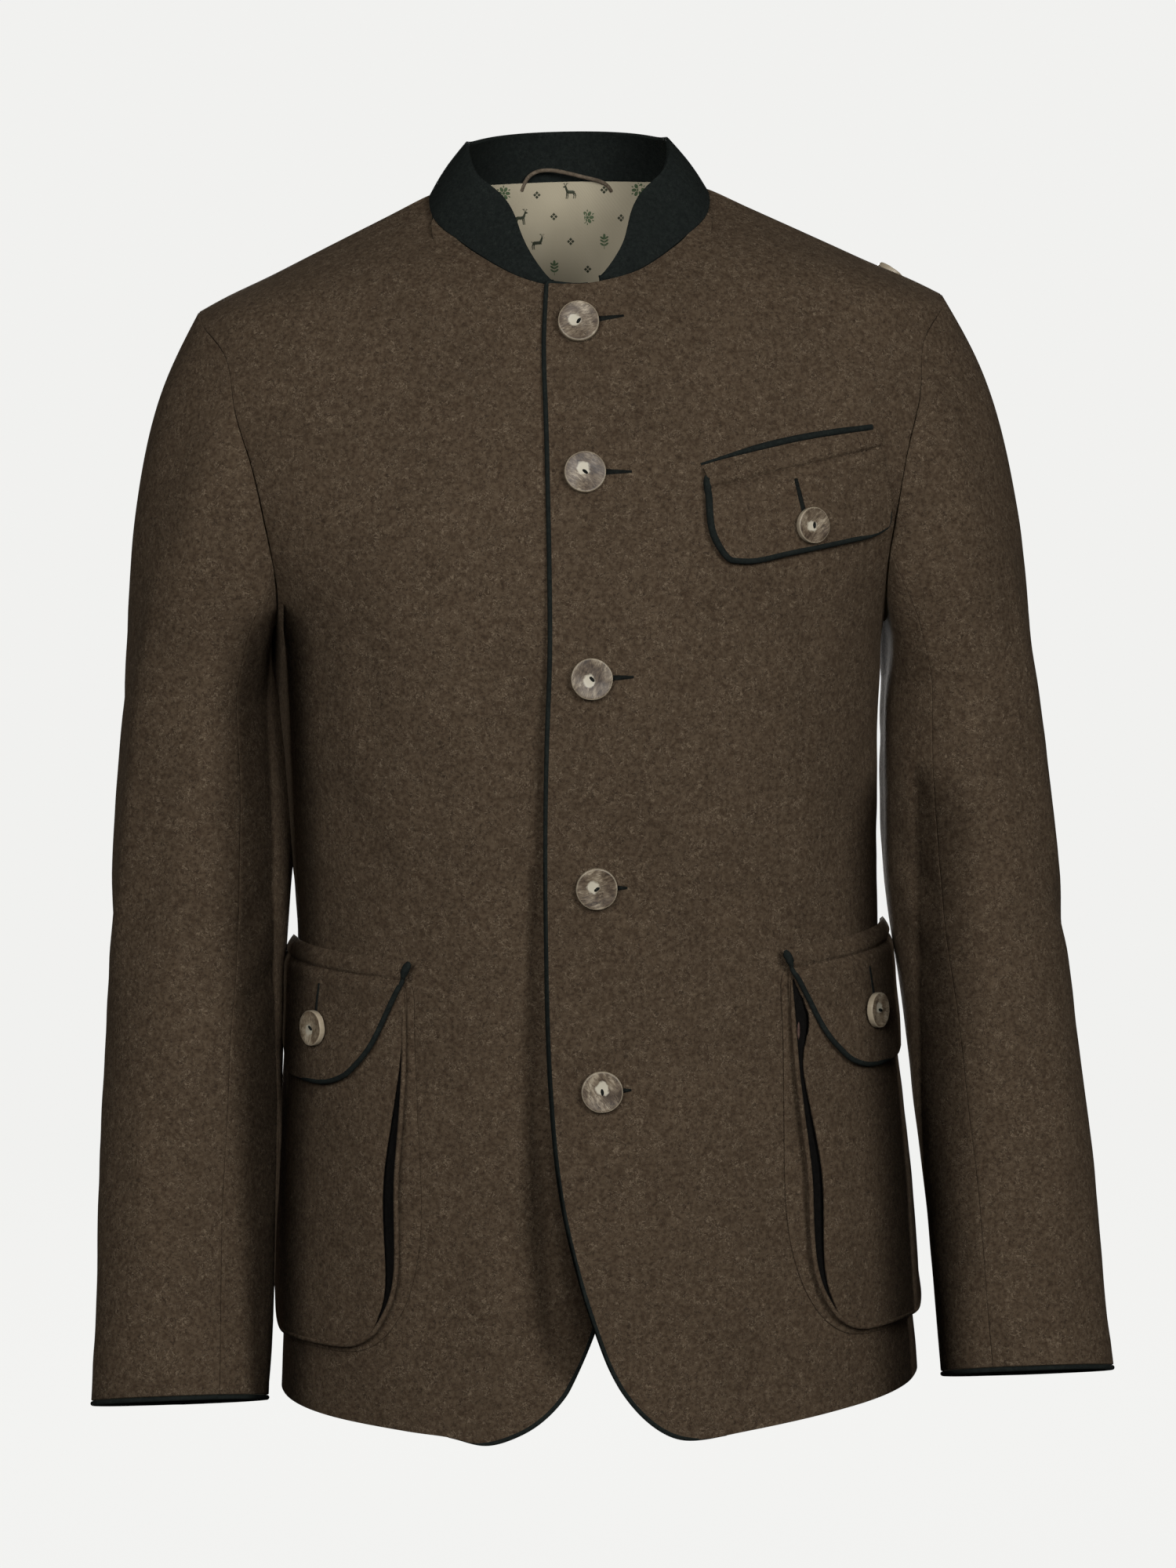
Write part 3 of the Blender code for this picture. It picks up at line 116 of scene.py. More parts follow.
def new_material(name, roughness, sheen=0.0, sheen_tint=(1, 1, 1), specular=0.3):
    made = bpy.data.materials.new(name)
    made.use_nodes = True
    finish = finish_of(made)
    finish.inputs["Roughness"].default_value = roughness
    finish.inputs["Specular IOR Level"].default_value = specular
    finish.inputs["Sheen Weight"].default_value = sheen
    finish.inputs["Sheen Tint"].default_value = (*sheen_tint, 1)
    finish.inputs["Sheen Roughness"].default_value = 0.45
    return made


def add_node(made, kind, **settings):
    """New shader node; settings name its properties or, by their labels, its sockets."""
    node = made.node_tree.nodes.new(kind)
    for key, value in settings.items():
        if hasattr(node, key):
            setattr(node, key, value)
        else:
            node.inputs[key.replace("_", " ")].default_value = value
    return node


def link(made, output, target):
    made.node_tree.links.new(output, target)


def paint(made, color):
    link(made, color, finish_of(made).inputs["Base Color"])


print("tools for a finish:", finish_of.__name__, paint.__name__)

# %% [markdown]
# A cloud of noise gives each place a value between 0 and 1. A ramp turns the value into colours,
# and a narrow band of it into a thin bent line, such as a fibre or a crack.

# %% Clouds and ramps
def cloud(made, place, scale, detail=2.0, distortion=0.0):
    node = add_node(made, "ShaderNodeTexNoise", Scale=scale, Detail=detail, Distortion=distortion)
    link(made, place, node.inputs["Vector"])
    return node.outputs["Fac"]


def ramp(made, value, stops):
    node = add_node(made, "ShaderNodeValToRGB")
    bar = node.color_ramp
    while len(bar.elements) < len(stops):
        bar.elements.new(0.5)
    for element, (at, color) in zip(bar.elements, stops):
        element.position = at
        element.color = (*color, 1) if len(color) == 3 else (color[0],) * 3 + (1,)
    link(made, value, node.inputs["Fac"])
    return node.outputs["Color"]


def band(made, value, centre, half):
    """1 where the value is near the centre, 0 beyond: a thin line along one level of a cloud."""
    core = half * 0.3
    return ramp(made, value, [(centre - half, (0.0,)), (centre - core, (1.0,)),
                              (centre + core, (1.0,)), (centre + half, (0.0,))])


print("tools for clouds:", cloud.__name__, ramp.__name__, band.__name__)

# %% [markdown]
# Colours are laid over each other by a share between 0 and 1, as a dyer mixes wools. Heights
# are added up in the same way, with a weight for each.

# %% Blends and sums
def blend(made, share, first, second):
    """The first colour where the share is 0, the second where it is 1."""
    node = add_node(made, "ShaderNodeMix", data_type='RGBA')
    link(made, share, node.inputs[0])
    for place, value in ((6, first), (7, second)):
        if isinstance(value, tuple):
            node.inputs[place].default_value = (*value, 1)
        else:
            link(made, value, node.inputs[place])
    return node.outputs[2]


def sum_of(made, first, second, weight):
    """second + first x weight."""
    node = add_node(made, "ShaderNodeMath", operation='MULTIPLY_ADD')
    link(made, first, node.inputs[0])
    node.inputs[1].default_value = weight
    link(made, second, node.inputs[2])
    return node.outputs[0]


def times(made, first, second):
    node = add_node(made, "ShaderNodeMath", operation='MULTIPLY')
    link(made, first, node.inputs[0])
    if isinstance(second, float):
        node.inputs[1].default_value = second
    else:
        link(made, second, node.inputs[1])
    return node.outputs[0]


print("tools for mixing:", blend.__name__, sum_of.__name__, times.__name__)

# %% [markdown]
# Relief is bump in the finish, for grain too fine to model. Each piece reads its pattern from
# another part of the cloud, as if it were cut from another part of the cloth.

# %% Relief and the place of a pattern
PIECE_SHIFT = (7.0, 3.0, 5.0)


def relief(made, height, distance):
    node = add_node(made, "ShaderNodeBump", Strength=1.0, Distance=distance)
    link(made, height, node.inputs["Height"])
    link(made, node.outputs["Normal"], finish_of(made).inputs["Normal"])


def moved_per_piece(made, place, shift):
    """This place, moved by a different part of the shift for each piece."""
    each = add_node(made, "ShaderNodeObjectInfo").outputs["Random"]
    move = add_node(made, "ShaderNodeVectorMath", operation='MULTIPLY_ADD')
    link(made, each, move.inputs[0])
    move.inputs[1].default_value = shift
    link(made, place, move.inputs[2])
    return move.outputs[0]


def own_place(made):
    """The piece's own coordinates, moved by a different amount for each piece."""
    place = add_node(made, "ShaderNodeTexCoord").outputs["Object"]
    return moved_per_piece(made, place, PIECE_SHIFT)


print("shift of the pattern from piece to piece", PIECE_SHIFT)

# %% [markdown]
# The wool of the body is a brown melange. Small spots carry the mix of dark and light wool,
# and fibres of about a quarter of a millimetre lie over them. The green cloth of the collar
# and pipings is the same felt, dyed much darker, so its fibres hardly show.

# %% Felted cloth
# Scales of the clouds, per metre: the higher, the finer.
SPOT_SCALE = 420.0
PATCH_SCALE = 24.0
PALE_FIBRE_SCALE = 430.0
PALE_PLACE_SCALE = 150.0
DARK_FIBRE_SCALE = 340.0
FUZZ_SCALE = 620.0


def felt(name, dark, light, pale_fibre, dark_fibre, pale_share, grain):
    made = new_material(name, roughness=0.92, sheen=0.16, sheen_tint=pale_fibre, specular=0.12)
    place = own_place(made)
    spots = cloud(made, place, SPOT_SCALE, detail=2.0)
    color = ramp(made, spots, [(0.34, dark), (0.66, light)])
    patches = cloud(made, place, PATCH_SCALE, detail=2.0)
    worn = ramp(made, patches, [(0.30, (0.93,)), (0.70, (1.06,))])
    mottled = add_node(made, "ShaderNodeMix", data_type='RGBA', blend_type='MULTIPLY')
    mottled.inputs[0].default_value = 1.0
    link(made, color, mottled.inputs[6])
    link(made, worn, mottled.inputs[7])
    pale_cloud = cloud(made, place, PALE_FIBRE_SCALE, detail=1.0, distortion=0.9)
    pale_line = band(made, pale_cloud, 0.50, 0.045)
    pale_places = cloud(made, place, PALE_PLACE_SCALE, detail=1.0)
    pale_where = ramp(made, pale_places, [(0.40, (0.0,)), (0.62, (1.0,))])
    pale = times(made, times(made, pale_line, pale_where), pale_share)
    color = blend(made, pale, mottled.outputs[2], pale_fibre)
    dark_cloud = cloud(made, place, DARK_FIBRE_SCALE, detail=1.0, distortion=1.2)
    dark_line = band(made, dark_cloud, 0.56, 0.035)
    paint(made, blend(made, times(made, dark_line, 0.55), color, dark_fibre))
    height = sum_of(made, cloud(made, place, FUZZ_SCALE, detail=3.0), spots, 0.6)
    relief(made, sum_of(made, pale, height, 0.5), grain)
    return made


print("spots of", round(1000 / SPOT_SCALE, 1), "mm, fuzz of", round(1000 / FUZZ_SCALE, 1), "mm")

# %% [markdown]
# One recipe serves every woollen cloth and thread of the jacket. Only the colours, the share
# of pale fibres and the depth of the grain change.

# %% Wool cloths and threads
loden = felt("loden", dark=(0.052, 0.034, 0.0205), light=(0.092, 0.065, 0.041),
             pale_fibre=(0.210, 0.160, 0.108), dark_fibre=(0.016, 0.0105, 0.007),
             pale_share=0.55, grain=0.00035)
green_cloth = felt("green_cloth", dark=(0.0082, 0.0108, 0.0098), light=(0.0125, 0.0158, 0.0142),
                   pale_fibre=(0.030, 0.037, 0.031), dark_fibre=(0.005, 0.006, 0.0055),
                   pale_share=0.30, grain=0.00015)
thread = felt("sewing_thread", dark=(0.0065, 0.0075, 0.0065), light=(0.0130, 0.0150, 0.0130),
              pale_fibre=(0.035, 0.040, 0.034), dark_fibre=(0.003, 0.003, 0.003),
              pale_share=0.2, grain=0.0001)
brown_thread = felt("brown_thread", dark=(0.020, 0.013, 0.008), light=(0.040, 0.027, 0.017),
                    pale_fibre=(0.09, 0.07, 0.05), dark_fibre=(0.008, 0.006, 0.004),
                    pale_share=0.2, grain=0.0001)
cord_cloth = felt("hanger_cord", dark=(0.105, 0.082, 0.058), light=(0.165, 0.130, 0.094),
                  pale_fibre=(0.26, 0.21, 0.16), dark_fibre=(0.05, 0.036, 0.024),
                  pale_share=0.3, grain=0.0001)
print("cloths", [made.name for made in (loden, green_cloth, thread, brown_thread, cord_cloth)])

# %% [markdown]
# ## From pattern to smooth cloth
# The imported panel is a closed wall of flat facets. Its outer side is cut free along the sharp
# rim, its triangles are joined back into the four-sided cells of the pattern, and a subdivision
# surface runs through the same points.

# %% Copy of a packed panel
def activate(piece, mode='OBJECT'):
    """Only this piece is selected, so that no other piece is changed by the next steps."""
    if bpy.context.object and bpy.context.object.mode != 'OBJECT':
        bpy.ops.object.mode_set(mode='OBJECT')
    bpy.ops.object.select_all(action='DESELECT')
    piece.select_set(True)
    bpy.context.view_layer.objects.active = piece
    if mode == 'EDIT':
        bpy.ops.object.mode_set(mode='EDIT')
        bpy.ops.mesh.select_all(action='SELECT')


def copy_of(node, name):
    """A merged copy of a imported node, as a piece of its own."""
    piece = bpy.data.objects.new(name, nodes[node].data.copy())
    scene.collection.objects.link(piece)
    piece.data.materials.clear()
    activate(piece, 'EDIT')
    bpy.ops.mesh.customdata_custom_splitnormals_clear()
    bpy.ops.mesh.remove_doubles(threshold=1e-5)
    bpy.ops.object.mode_set(mode='OBJECT')
    return piece


print("tools for a copy:", activate.__name__, copy_of.__name__)

# %% [markdown]
# The rim is where the outer side turns sharply to the cut edge. There the mesh is split, and
# falls into loose parts. The outer side is always the part with the largest area.

# %% Outer side of a panel
RIM_ANGLE = math.radians(50)


def area_of(piece):
    return sum(face.area for face in piece.data.polygons)


def join_triangles(piece):
    """Two triangles that make one cell of the pattern become one face, however it is bent."""
    activate(piece, 'EDIT')
    any_angle = math.radians(180)
    bpy.ops.mesh.tris_convert_to_quads(face_threshold=any_angle, shape_threshold=any_angle,
                                       topology_influence=1.5)
    bpy.ops.object.mode_set(mode='OBJECT')


def outer_sheet(node, name):
    """The outer side of a wall, without its rim and inner side."""
    piece = copy_of(node, name)
    activate(piece, 'EDIT')
    bpy.ops.mesh.select_mode(type='EDGE')
    bpy.ops.mesh.select_all(action='DESELECT')
    bpy.ops.mesh.edges_select_sharp(sharpness=RIM_ANGLE)
    bpy.ops.mesh.edge_split(type='EDGE')
    bpy.ops.mesh.select_all(action='SELECT')
    bpy.ops.mesh.separate(type='LOOSE')
    bpy.ops.object.mode_set(mode='OBJECT')
    parts = sorted(bpy.context.selected_objects, key=area_of, reverse=True)
    for rest in parts[1:]:
        bpy.data.objects.remove(rest)
    parts[0].name = name
    join_triangles(parts[0])
    return parts[0]


print("rims are sharper than", round(math.degrees(RIM_ANGLE)), "degrees")

# %% [markdown]
# A subdivision surface alone would shrink the panel, because it runs inside its points. So the
# points are first moved out until the smooth surface is on the places that they came from. Cloth
# then gets its thickness with Solidify, and a small bevel rounds its cut edge.

# %% Smooth and thick
def smooth_through(piece, levels):
    """Subdivide, with the smooth surface still on every point of the pattern."""
    wanted = [vertex.co.copy() for vertex in piece.data.vertices]
    smooth = piece.modifiers.new("Smooth", 'SUBSURF')
    smooth.levels = levels
    smooth.render_levels = levels
    smooth.boundary_smooth = 'PRESERVE_CORNERS'
    for _ in range(3):
        shown = piece.evaluated_get(bpy.context.evaluated_depsgraph_get())
        drawn = shown.to_mesh()
        moves = [goal - drawn.vertices[i].co for i, goal in enumerate(wanted)]
        shown.to_mesh_clear()
        for vertex, move in zip(piece.data.vertices, moves):
            vertex.co += move
        piece.data.update()
    activate(piece)
    bpy.ops.object.modifier_apply(modifier="Smooth")


def thicken(piece, thickness, edge, segments=2, inner_material=None):
    """Give a sheet its cloth thickness inwards and round its cut edges a little."""
    activate(piece)
    if inner_material:
        piece.data.materials.append(inner_material)
    wall = piece.modifiers.new("Cloth", 'SOLIDIFY')
    wall.thickness = thickness
    wall.offset = -1
    wall.material_offset = 1 if inner_material else 0
    bpy.ops.object.modifier_apply(modifier="Cloth")
    if edge:
        soft = piece.modifiers.new("Edge", 'BEVEL')
        soft.width = edge
        soft.segments = segments
        soft.limit_method = 'ANGLE'
        soft.angle_limit = math.radians(55)
        bpy.ops.object.modifier_apply(modifier="Edge")
    bpy.ops.object.shade_smooth_by_angle(angle=math.radians(45))


print("tools for cloth:", smooth_through.__name__, thicken.__name__)

# %% [markdown]
# Pipings and bindings are sewn along a panel's rim. The rim is read from the smooth sheet while
# it is still open, as points in order with the way that the cloth faces there.

# %% Rims
def rim_of(piece):
    """The rim of an open sheet in order: each point with the way the cloth faces there."""
    uses = {}
    for face in piece.data.polygons:
        for pair in face.edge_keys:
            uses[pair] = uses.get(pair, 0) + 1
    beside = {}
    for (first, second), count in uses.items():
        if count == 1:
            beside.setdefault(first, []).append(second)
            beside.setdefault(second, []).append(first)
    order = [next(iter(beside))]
    order.append(beside[order[0]][0])
    while True:
        ahead = [index for index in beside[order[-1]] if index != order[-2]][0]
        if ahead == order[0]:
            break
        order.append(ahead)
    vertices = piece.data.vertices
    return [(vertices[index].co.copy(), vertices[index].normal.copy()) for index in order]


print("tool for a rim:", rim_of.__name__)

# %% [markdown]
# A piping uses only a part of the rim, from one corner to another. Two corners leave two ways
# round, so a third place tells which way is meant. The points are then spread evenly.

# %% Part of a rim
def rim_between(rim, start, via, end):
    """The part of a rim that runs from one place to another by way of a third."""
    def nearest(place):
        return min(range(len(rim)), key=lambda index: (rim[index][0] - Vector(place)).length)

    first, middle, last = nearest(start), nearest(via), nearest(end)
    count = len(rim)
    ahead = (last - first) % count
    if (middle - first) % count <= ahead:
        return [rim[(first + step) % count] for step in range(ahead + 1)]
    return [rim[(first - step) % count] for step in range(count - ahead + 1)]


def spaced(points, spacing):
    """Points at an even distance along a line of points."""
    lengths = [0.0]
    for first, second in zip(points, points[1:]):
        lengths.append(lengths[-1] + (second - first).length)
    count = max(int(lengths[-1] / spacing), 2)
    result = []
    index = 0
    for step in range(count + 1):
        goal = lengths[-1] * step / count
        while index < len(points) - 2 and lengths[index + 1] < goal:
            index += 1
        span = lengths[index + 1] - lengths[index]
        result.append(points[index].lerp(points[index + 1], (goal - lengths[index]) / max(span, 1e-9)))
    return result


print("tools for a run:", rim_between.__name__, spaced.__name__)

# %% [markdown]
# Things sewn on afterwards have to lie on the smooth cloth. A ray from the front finds the first
# cloth that it meets, with the way that the cloth faces. Each finished piece then rides on the
# one body of the jacket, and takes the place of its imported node.

# %% Probe and finish
def surface_of(*pieces):
    """What a probe can touch: the faces of these pieces together."""
    points, faces = [], []
    for piece in pieces:
        shift = len(points)
        points += [vertex.co.copy() for vertex in piece.data.vertices]
        faces += [[index + shift for index in face.vertices] for face in piece.data.polygons]
    return BVHTree.FromPolygons(points, faces)


def from_front(surface, across, height):
    """Place and facing of the first cloth met straight from the front."""
    place, facing, _, _ = surface.ray_cast(Vector((across, -0.5, height)), Vector((0, 1, 0)))
    return place, facing


def finish_piece(piece, *stands_for, slot):
    """The piece goes with the jacket's one body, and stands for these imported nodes."""
    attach(piece, "root")
    if stands_for:
        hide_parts(*stands_for)


print("tools for the place of a piece:", from_front.__name__, finish_piece.__name__)

# %% [markdown]
# ## How the cloth falls
# Thick loden makes few, wide and shallow creases. Each one is written down as a soft
# trough or ridge along a short line: where it starts and ends, how wide and how deep it is.
# The place on the body is given by the turn from the centre front and by the height, so
# that layers lying on each other move together and stay apart.

# %% Places round the body
# Half sizes of the chest's section, and its mean radius.
CHEST_WIDE, CHEST_DEEP = 0.19, 0.125
BODY_RADIUS = 0.16


def clamp(value):
    return min(max(value, 0.0), 1.0)


def smooth_step(value):
    value = clamp(value)
    return value * value * (3 - 2 * value)


def turn_of(point):
    """Degrees from the centre front, to the wearer's left."""
    return math.degrees(math.atan2(point.x, -point.y))


def outward_at(point):
    """The way that the body's cloth faces there, level."""
    return Vector((point.x / CHEST_WIDE ** 2, point.y / CHEST_DEEP ** 2, 0)).normalized()


def away_from_front(point, side):
    """Along the cloth, level, and away from the centre front."""
    outward = outward_at(point)
    return Vector((-outward.y, outward.x, 0)) * side


print("section of the chest", CHEST_WIDE * 2, "by", CHEST_DEEP * 2, "m")

# %% [markdown]
# The fronts hang from the chest, so their creases run downwards from it. The back is pulled a
# little towards the armholes, and the hem flares between the folds.

# %% Creases of the body
Crease = namedtuple("Crease", "turn_1 height_1 turn_2 height_2 width depth")
BODY_CREASES = [
    Crease(-18.5, -0.480, -13.0, -0.700, 0.010, -0.0042),
    Crease(-12.0, -0.330, -17.5, -0.500, 0.009, -0.0018),
    Crease(-30, -0.590, -26, -0.705, 0.015, 0.0020),
    Crease(25, -0.520, 21, -0.700, 0.016, -0.0012),
    Crease(-62, -0.262, -66, -0.330, 0.012, -0.0008),
    Crease(54, -0.255, 57, -0.335, 0.009, -0.0009),
    Crease(-90, -0.240, -92, -0.408, 0.022, 0.0036),
    Crease(90, -0.250, 90, -0.400, 0.020, -0.0026),
    Crease(-88, -0.450, -88, -0.690, 0.022, 0.0010),
    Crease(-48, -0.400, -60, -0.345, 0.016, -0.0016),
    Crease(-52, -0.245, -50, -0.330, 0.010, -0.0012),
    Crease(52, -0.245, 50, -0.330, 0.010, -0.0012),
    Crease(58, -0.395, 70, -0.330, 0.018, -0.0018),
    Crease(40, -0.300, 62, -0.268, 0.016, 0.0012),
    Crease(26, -0.430, 44, -0.405, 0.013, -0.0011),
    Crease(-24, -0.330, -44, -0.300, 0.015, 0.0011),
    Crease(96, -0.330, 112, -0.410, 0.018, -0.0022),
    Crease(-99, -0.345, -118, -0.400, 0.017, -0.0020),
    Crease(125, -0.250, 150, -0.300, 0.020, 0.0018),
    Crease(-130, -0.235, -152, -0.290, 0.022, 0.0016),
    Crease(160, -0.420, 174, -0.640, 0.020, -0.0020),
    Crease(-158, -0.450, -170, -0.660, 0.022, -0.0018),
    Crease(135, -0.560, 140, -0.690, 0.024, 0.0020),
    Crease(-137, -0.590, -134, -0.690, 0.022, 0.0018),
]
print("creases of the body", len(BODY_CREASES))

# %% [markdown]
# The move of the cloth at one place is the sum of all the creases near it and of a faint
# waviness, which keeps the creases from looking ruled. Noise also makes their width uneven.

# %% Moves of the body's cloth
# The faint waviness: the depth and the scale of each of its two clouds.
WAVINESS = ((0.0006, 17), (0.00035, 48))
UNEVEN_WIDTH = 0.35
# A crease fades towards both ends, and is no longer felt at this many widths beside it.
END_FADE = 0.75
CREASE_REACH = 2.2
BODY_SEED = 3.1
SHOULDER_CALM = -0.075
CREASES_GROW_OVER = 0.10


def crease_move(creases, turn, height, radius, seed):
    """Outward move of the cloth at one place, from all the creases and a faint waviness."""
    place = Vector((math.radians(turn) * radius, height))
    grain = Vector((place.x, place.y, seed))
    move = sum(depth * noise.noise(grain * scale) for depth, scale in WAVINESS)
    for crease in creases:
        first = Vector((math.radians(crease.turn_1) * radius, crease.height_1))
        second = Vector((math.radians(crease.turn_2) * radius, crease.height_2))
        line = second - first
        share = clamp((place - first).dot(line) / line.length_squared)
        away = (place - first - line * share).length
        uneven = noise.noise(grain * 30 + Vector((0, 0, crease.depth * 4000)))
        width = crease.width * (1 + UNEVEN_WIDTH * uneven)
        if away < width * CREASE_REACH:
            fade = 1 - END_FADE * abs(2 * share - 1) ** 3
            move += crease.depth * fade * math.exp(-(away / width) ** 2 * 1.6)
    return move


def body_move(point):
    """No creases at the shoulders, where the jacket rests on its wearer."""
    calm = smooth_step((SHOULDER_CALM - point.z) / CREASES_GROW_OVER)
    creases = crease_move(BODY_CREASES, turn_of(point), point.z, BODY_RADIUS, BODY_SEED)
    return outward_at(point) * creases * calm


def drape(piece, mover):
    for vertex in piece.data.vertices:
        vertex.co += mover(vertex.co)
    piece.data.update()


print("the cloth has its full creases below", SHOULDER_CALM - CREASES_GROW_OVER, "m")

# %% [markdown]
# The under front hangs free behind the over front, so beside its edge it falls back a little,
# and more so near the hem, where nothing holds it. The over front's edge bends away there.

# %% Move of the under front
OVER_EDGE = -0.031
EDGE_BENDS_BELOW = -0.420
EDGE_BEND = 0.041
FALL_WIDTH = 0.021
# How far it falls back, from which height down, and within what distance.
FALLS_BACK, FALL_TOP, FALL_GROWS = 0.0078, -0.200, 0.15
FALLS_BACK_MORE, HEM_FALL_TOP, HEM_FALL_GROWS = 0.0035, -0.500, 0.12


def under_front_move(point):
    """The under front falls back behind the edge of the over front."""
    below = clamp((EDGE_BENDS_BELOW - point.z) / 0.30)
    edge = OVER_EDGE + EDGE_BEND * below ** 3
    reach = min(point.x - edge - 0.002, 0.0) / FALL_WIDTH
    front = 1.0 if point.y < 0 else 0.0
    sink = (FALLS_BACK * smooth_step((FALL_TOP - point.z) / FALL_GROWS)
            + FALLS_BACK_MORE * smooth_step((HEM_FALL_TOP - point.z) / HEM_FALL_GROWS))
    return body_move(point) - outward_at(point) * sink * front * math.exp(-reach ** 2 * 1.4)


print("the under front falls back by", (FALLS_BACK + FALLS_BACK_MORE) * 1000, "mm")

# %% [markdown]
# The sleeves hang a little bent. Their creases gather on the inside of the elbow and under
# the arm, where the cloth is pressed together, and long soft ridges run down the outside.

# %% Creases of the sleeves
SLEEVE_CREASES = {
    -1: [
        Crease(22, -0.200, 62, -0.470, 0.013, 0.0032),
        Crease(-2, -0.230, 30, -0.430, 0.013, -0.0024),
        Crease(-90, -0.250, -88, -0.410, 0.022, 0.0038),
        Crease(70, -0.250, 98, -0.330, 0.015, -0.0020),
        Crease(-90, -0.460, -90, -0.700, 0.028, 0.0048),
        Crease(60, -0.400, 100, -0.440, 0.012, -0.0020),
        Crease(-60, -0.400, -20, -0.450, 0.013, -0.0020),
        Crease(-75, -0.450, -30, -0.480, 0.011, -0.0018),
        Crease(150, -0.420, 200, -0.450, 0.016, 0.0020),
        Crease(30, -0.520, 20, -0.640, 0.014, 0.0014),
        Crease(80, -0.560, 95, -0.680, 0.016, -0.0014),
        Crease(-100, -0.350, -150, -0.380, 0.014, -0.0018),
    ],
    1: [
        Crease(25, -0.190, 60, -0.420, 0.014, 0.0028),
        Crease(0, -0.240, 28, -0.400, 0.013, -0.0020),
        Crease(75, -0.260, 100, -0.330, 0.015, -0.0018),
        Crease(-88, -0.260, -90, -0.420, 0.022, -0.0026),
        Crease(-15, -0.290, 25, -0.350, 0.015, -0.0018),
        Crease(50, -0.420, 95, -0.455, 0.013, -0.0022),
        Crease(-65, -0.385, -25, -0.430, 0.013, -0.0020),
        Crease(-70, -0.440, -35, -0.470, 0.012, -0.0016),
        Crease(150, -0.400, 195, -0.440, 0.017, 0.0020),
        Crease(40, -0.500, 30, -0.620, 0.015, 0.0015),
        Crease(75, -0.590, 85, -0.690, 0.015, -0.0013),
        Crease(-105, -0.330, -150, -0.370, 0.014, -0.0018),
    ],
}
print("creases of the sleeves", sum(len(rows) for rows in SLEEVE_CREASES.values()))

# %% [markdown]
# A place on a sleeve is given by the turn round the middle of the arm and by the height. The
# arm's middle line bends forwards below the elbow, so it is a row of places from the shoulder
# to the wrist.

# %% Moves of a sleeve's cloth
ArmPlace = namedtuple("ArmPlace", "height across behind")
ARM_LINE = [
    ArmPlace(-0.150, 0.2200, 0.008), ArmPlace(-0.305, 0.2290, 0.006),
    ArmPlace(-0.400, 0.2315, -0.004), ArmPlace(-0.500, 0.2395, -0.025),
    ArmPlace(-0.600, 0.2470, -0.049), ArmPlace(-0.712, 0.2530, -0.074),
]
ARM_RADIUS = 0.056
SLEEVE_SEED = 11.7
SLEEVE_CALM = -0.150


def arm_centre(height, side):
    for first, second in zip(ARM_LINE, ARM_LINE[1:]):
        if height >= second.height:
            break
    share = clamp((height - first.height) / (second.height - first.height))
    across = first.across + (second.across - first.across) * share
    behind = first.behind + (second.behind - first.behind) * share
    return Vector((across * side, behind, height))


def sleeve_mover(side):
    """The move of one sleeve's cloth. Both sleeves count their turns outwards from the front."""
    def move(point):
        reach = point - arm_centre(point.z, side)
        turn = math.degrees(math.atan2(reach.x * side, -reach.y))
        calm = smooth_step((SLEEVE_CALM - point.z) / CREASES_GROW_OVER)
        seed = SLEEVE_SEED + side
        creases = crease_move(SLEEVE_CREASES[side], turn, point.z, ARM_RADIUS, seed)
        return Vector((reach.x, reach.y, 0)).normalized() * calm * creases
    return move


print("middle of the left wrist", [round(value, 3) for value in arm_centre(-0.712, 1)])

# %% [markdown]
# ## Body panels
# Two fronts and two back panels of loden. Their inside shows a pale satin, which is a finish
# on the inner side of the same wall: a soft colour, and a fine diagonal weave as relief.

# %% Lining cloths
def satin(name, color, shadow):
    made = new_material(name, roughness=0.42, sheen=0.05, specular=0.4)
    place = own_place(made)
    paint(made, ramp(made, cloud(made, place, 16.0, detail=2.0), [(0.32, shadow), (0.68, color)]))
    weave = add_node(made, "ShaderNodeTexWave", Scale=420.0, Distortion=0.6, Detail=1.0)
    weave.bands_direction = 'DIAGONAL'
    link(made, place, weave.inputs["Vector"])
    height = sum_of(made, weave.outputs["Fac"], cloud(made, place, 70.0), 0.25)
    relief(made, height, 0.00012)
    return made


lining_satin = satin("lining_satin", (0.58, 0.515, 0.375), (0.46, 0.405, 0.29))
print("lining cloth", lining_satin.name)

# %% [markdown]
# Each panel is made smooth first, then moved by its creases, and gets its thickness last, so
# both of its sides carry the same folds. Along the front edges a facing of loden, and not the
# satin, is what shows inside, so the inner faces near the edges get the loden back.

# %% Fronts and backs
CLOTH = 0.0020
CUT_EDGE = 0.0005
PANEL_LEVELS = 3
FACING_WIDTH = 0.075
FACING_TOP = -0.07
body = {}
rims = {}
for name in ("front_left", "front_right", "back_left", "back_right"):
    piece = outer_sheet(name, name + "_cloth")
    piece.data.materials.append(loden)
    smooth_through(piece, PANEL_LEVELS)
    drape(piece, under_front_move if name == "front_right" else body_move)
    rims[name] = rim_of(piece)
    thicken(piece, CLOTH, CUT_EDGE, inner_material=lining_satin)
    if "front" in name:
        for face in piece.data.polygons:
            if abs(face.center.x) < FACING_WIDTH and face.center.z < FACING_TOP:
                face.material_index = 0
    finish_piece(piece, name, slot="loden")
    body[name] = piece
    print(name, len(piece.data.polygons), "faces")

# %% [markdown]
# ## Sleeves
# Each sleeve is cut in two parts, a wide top part and a narrow one under the arm. They are made
# like the body's panels, but their creases are counted round the arm.

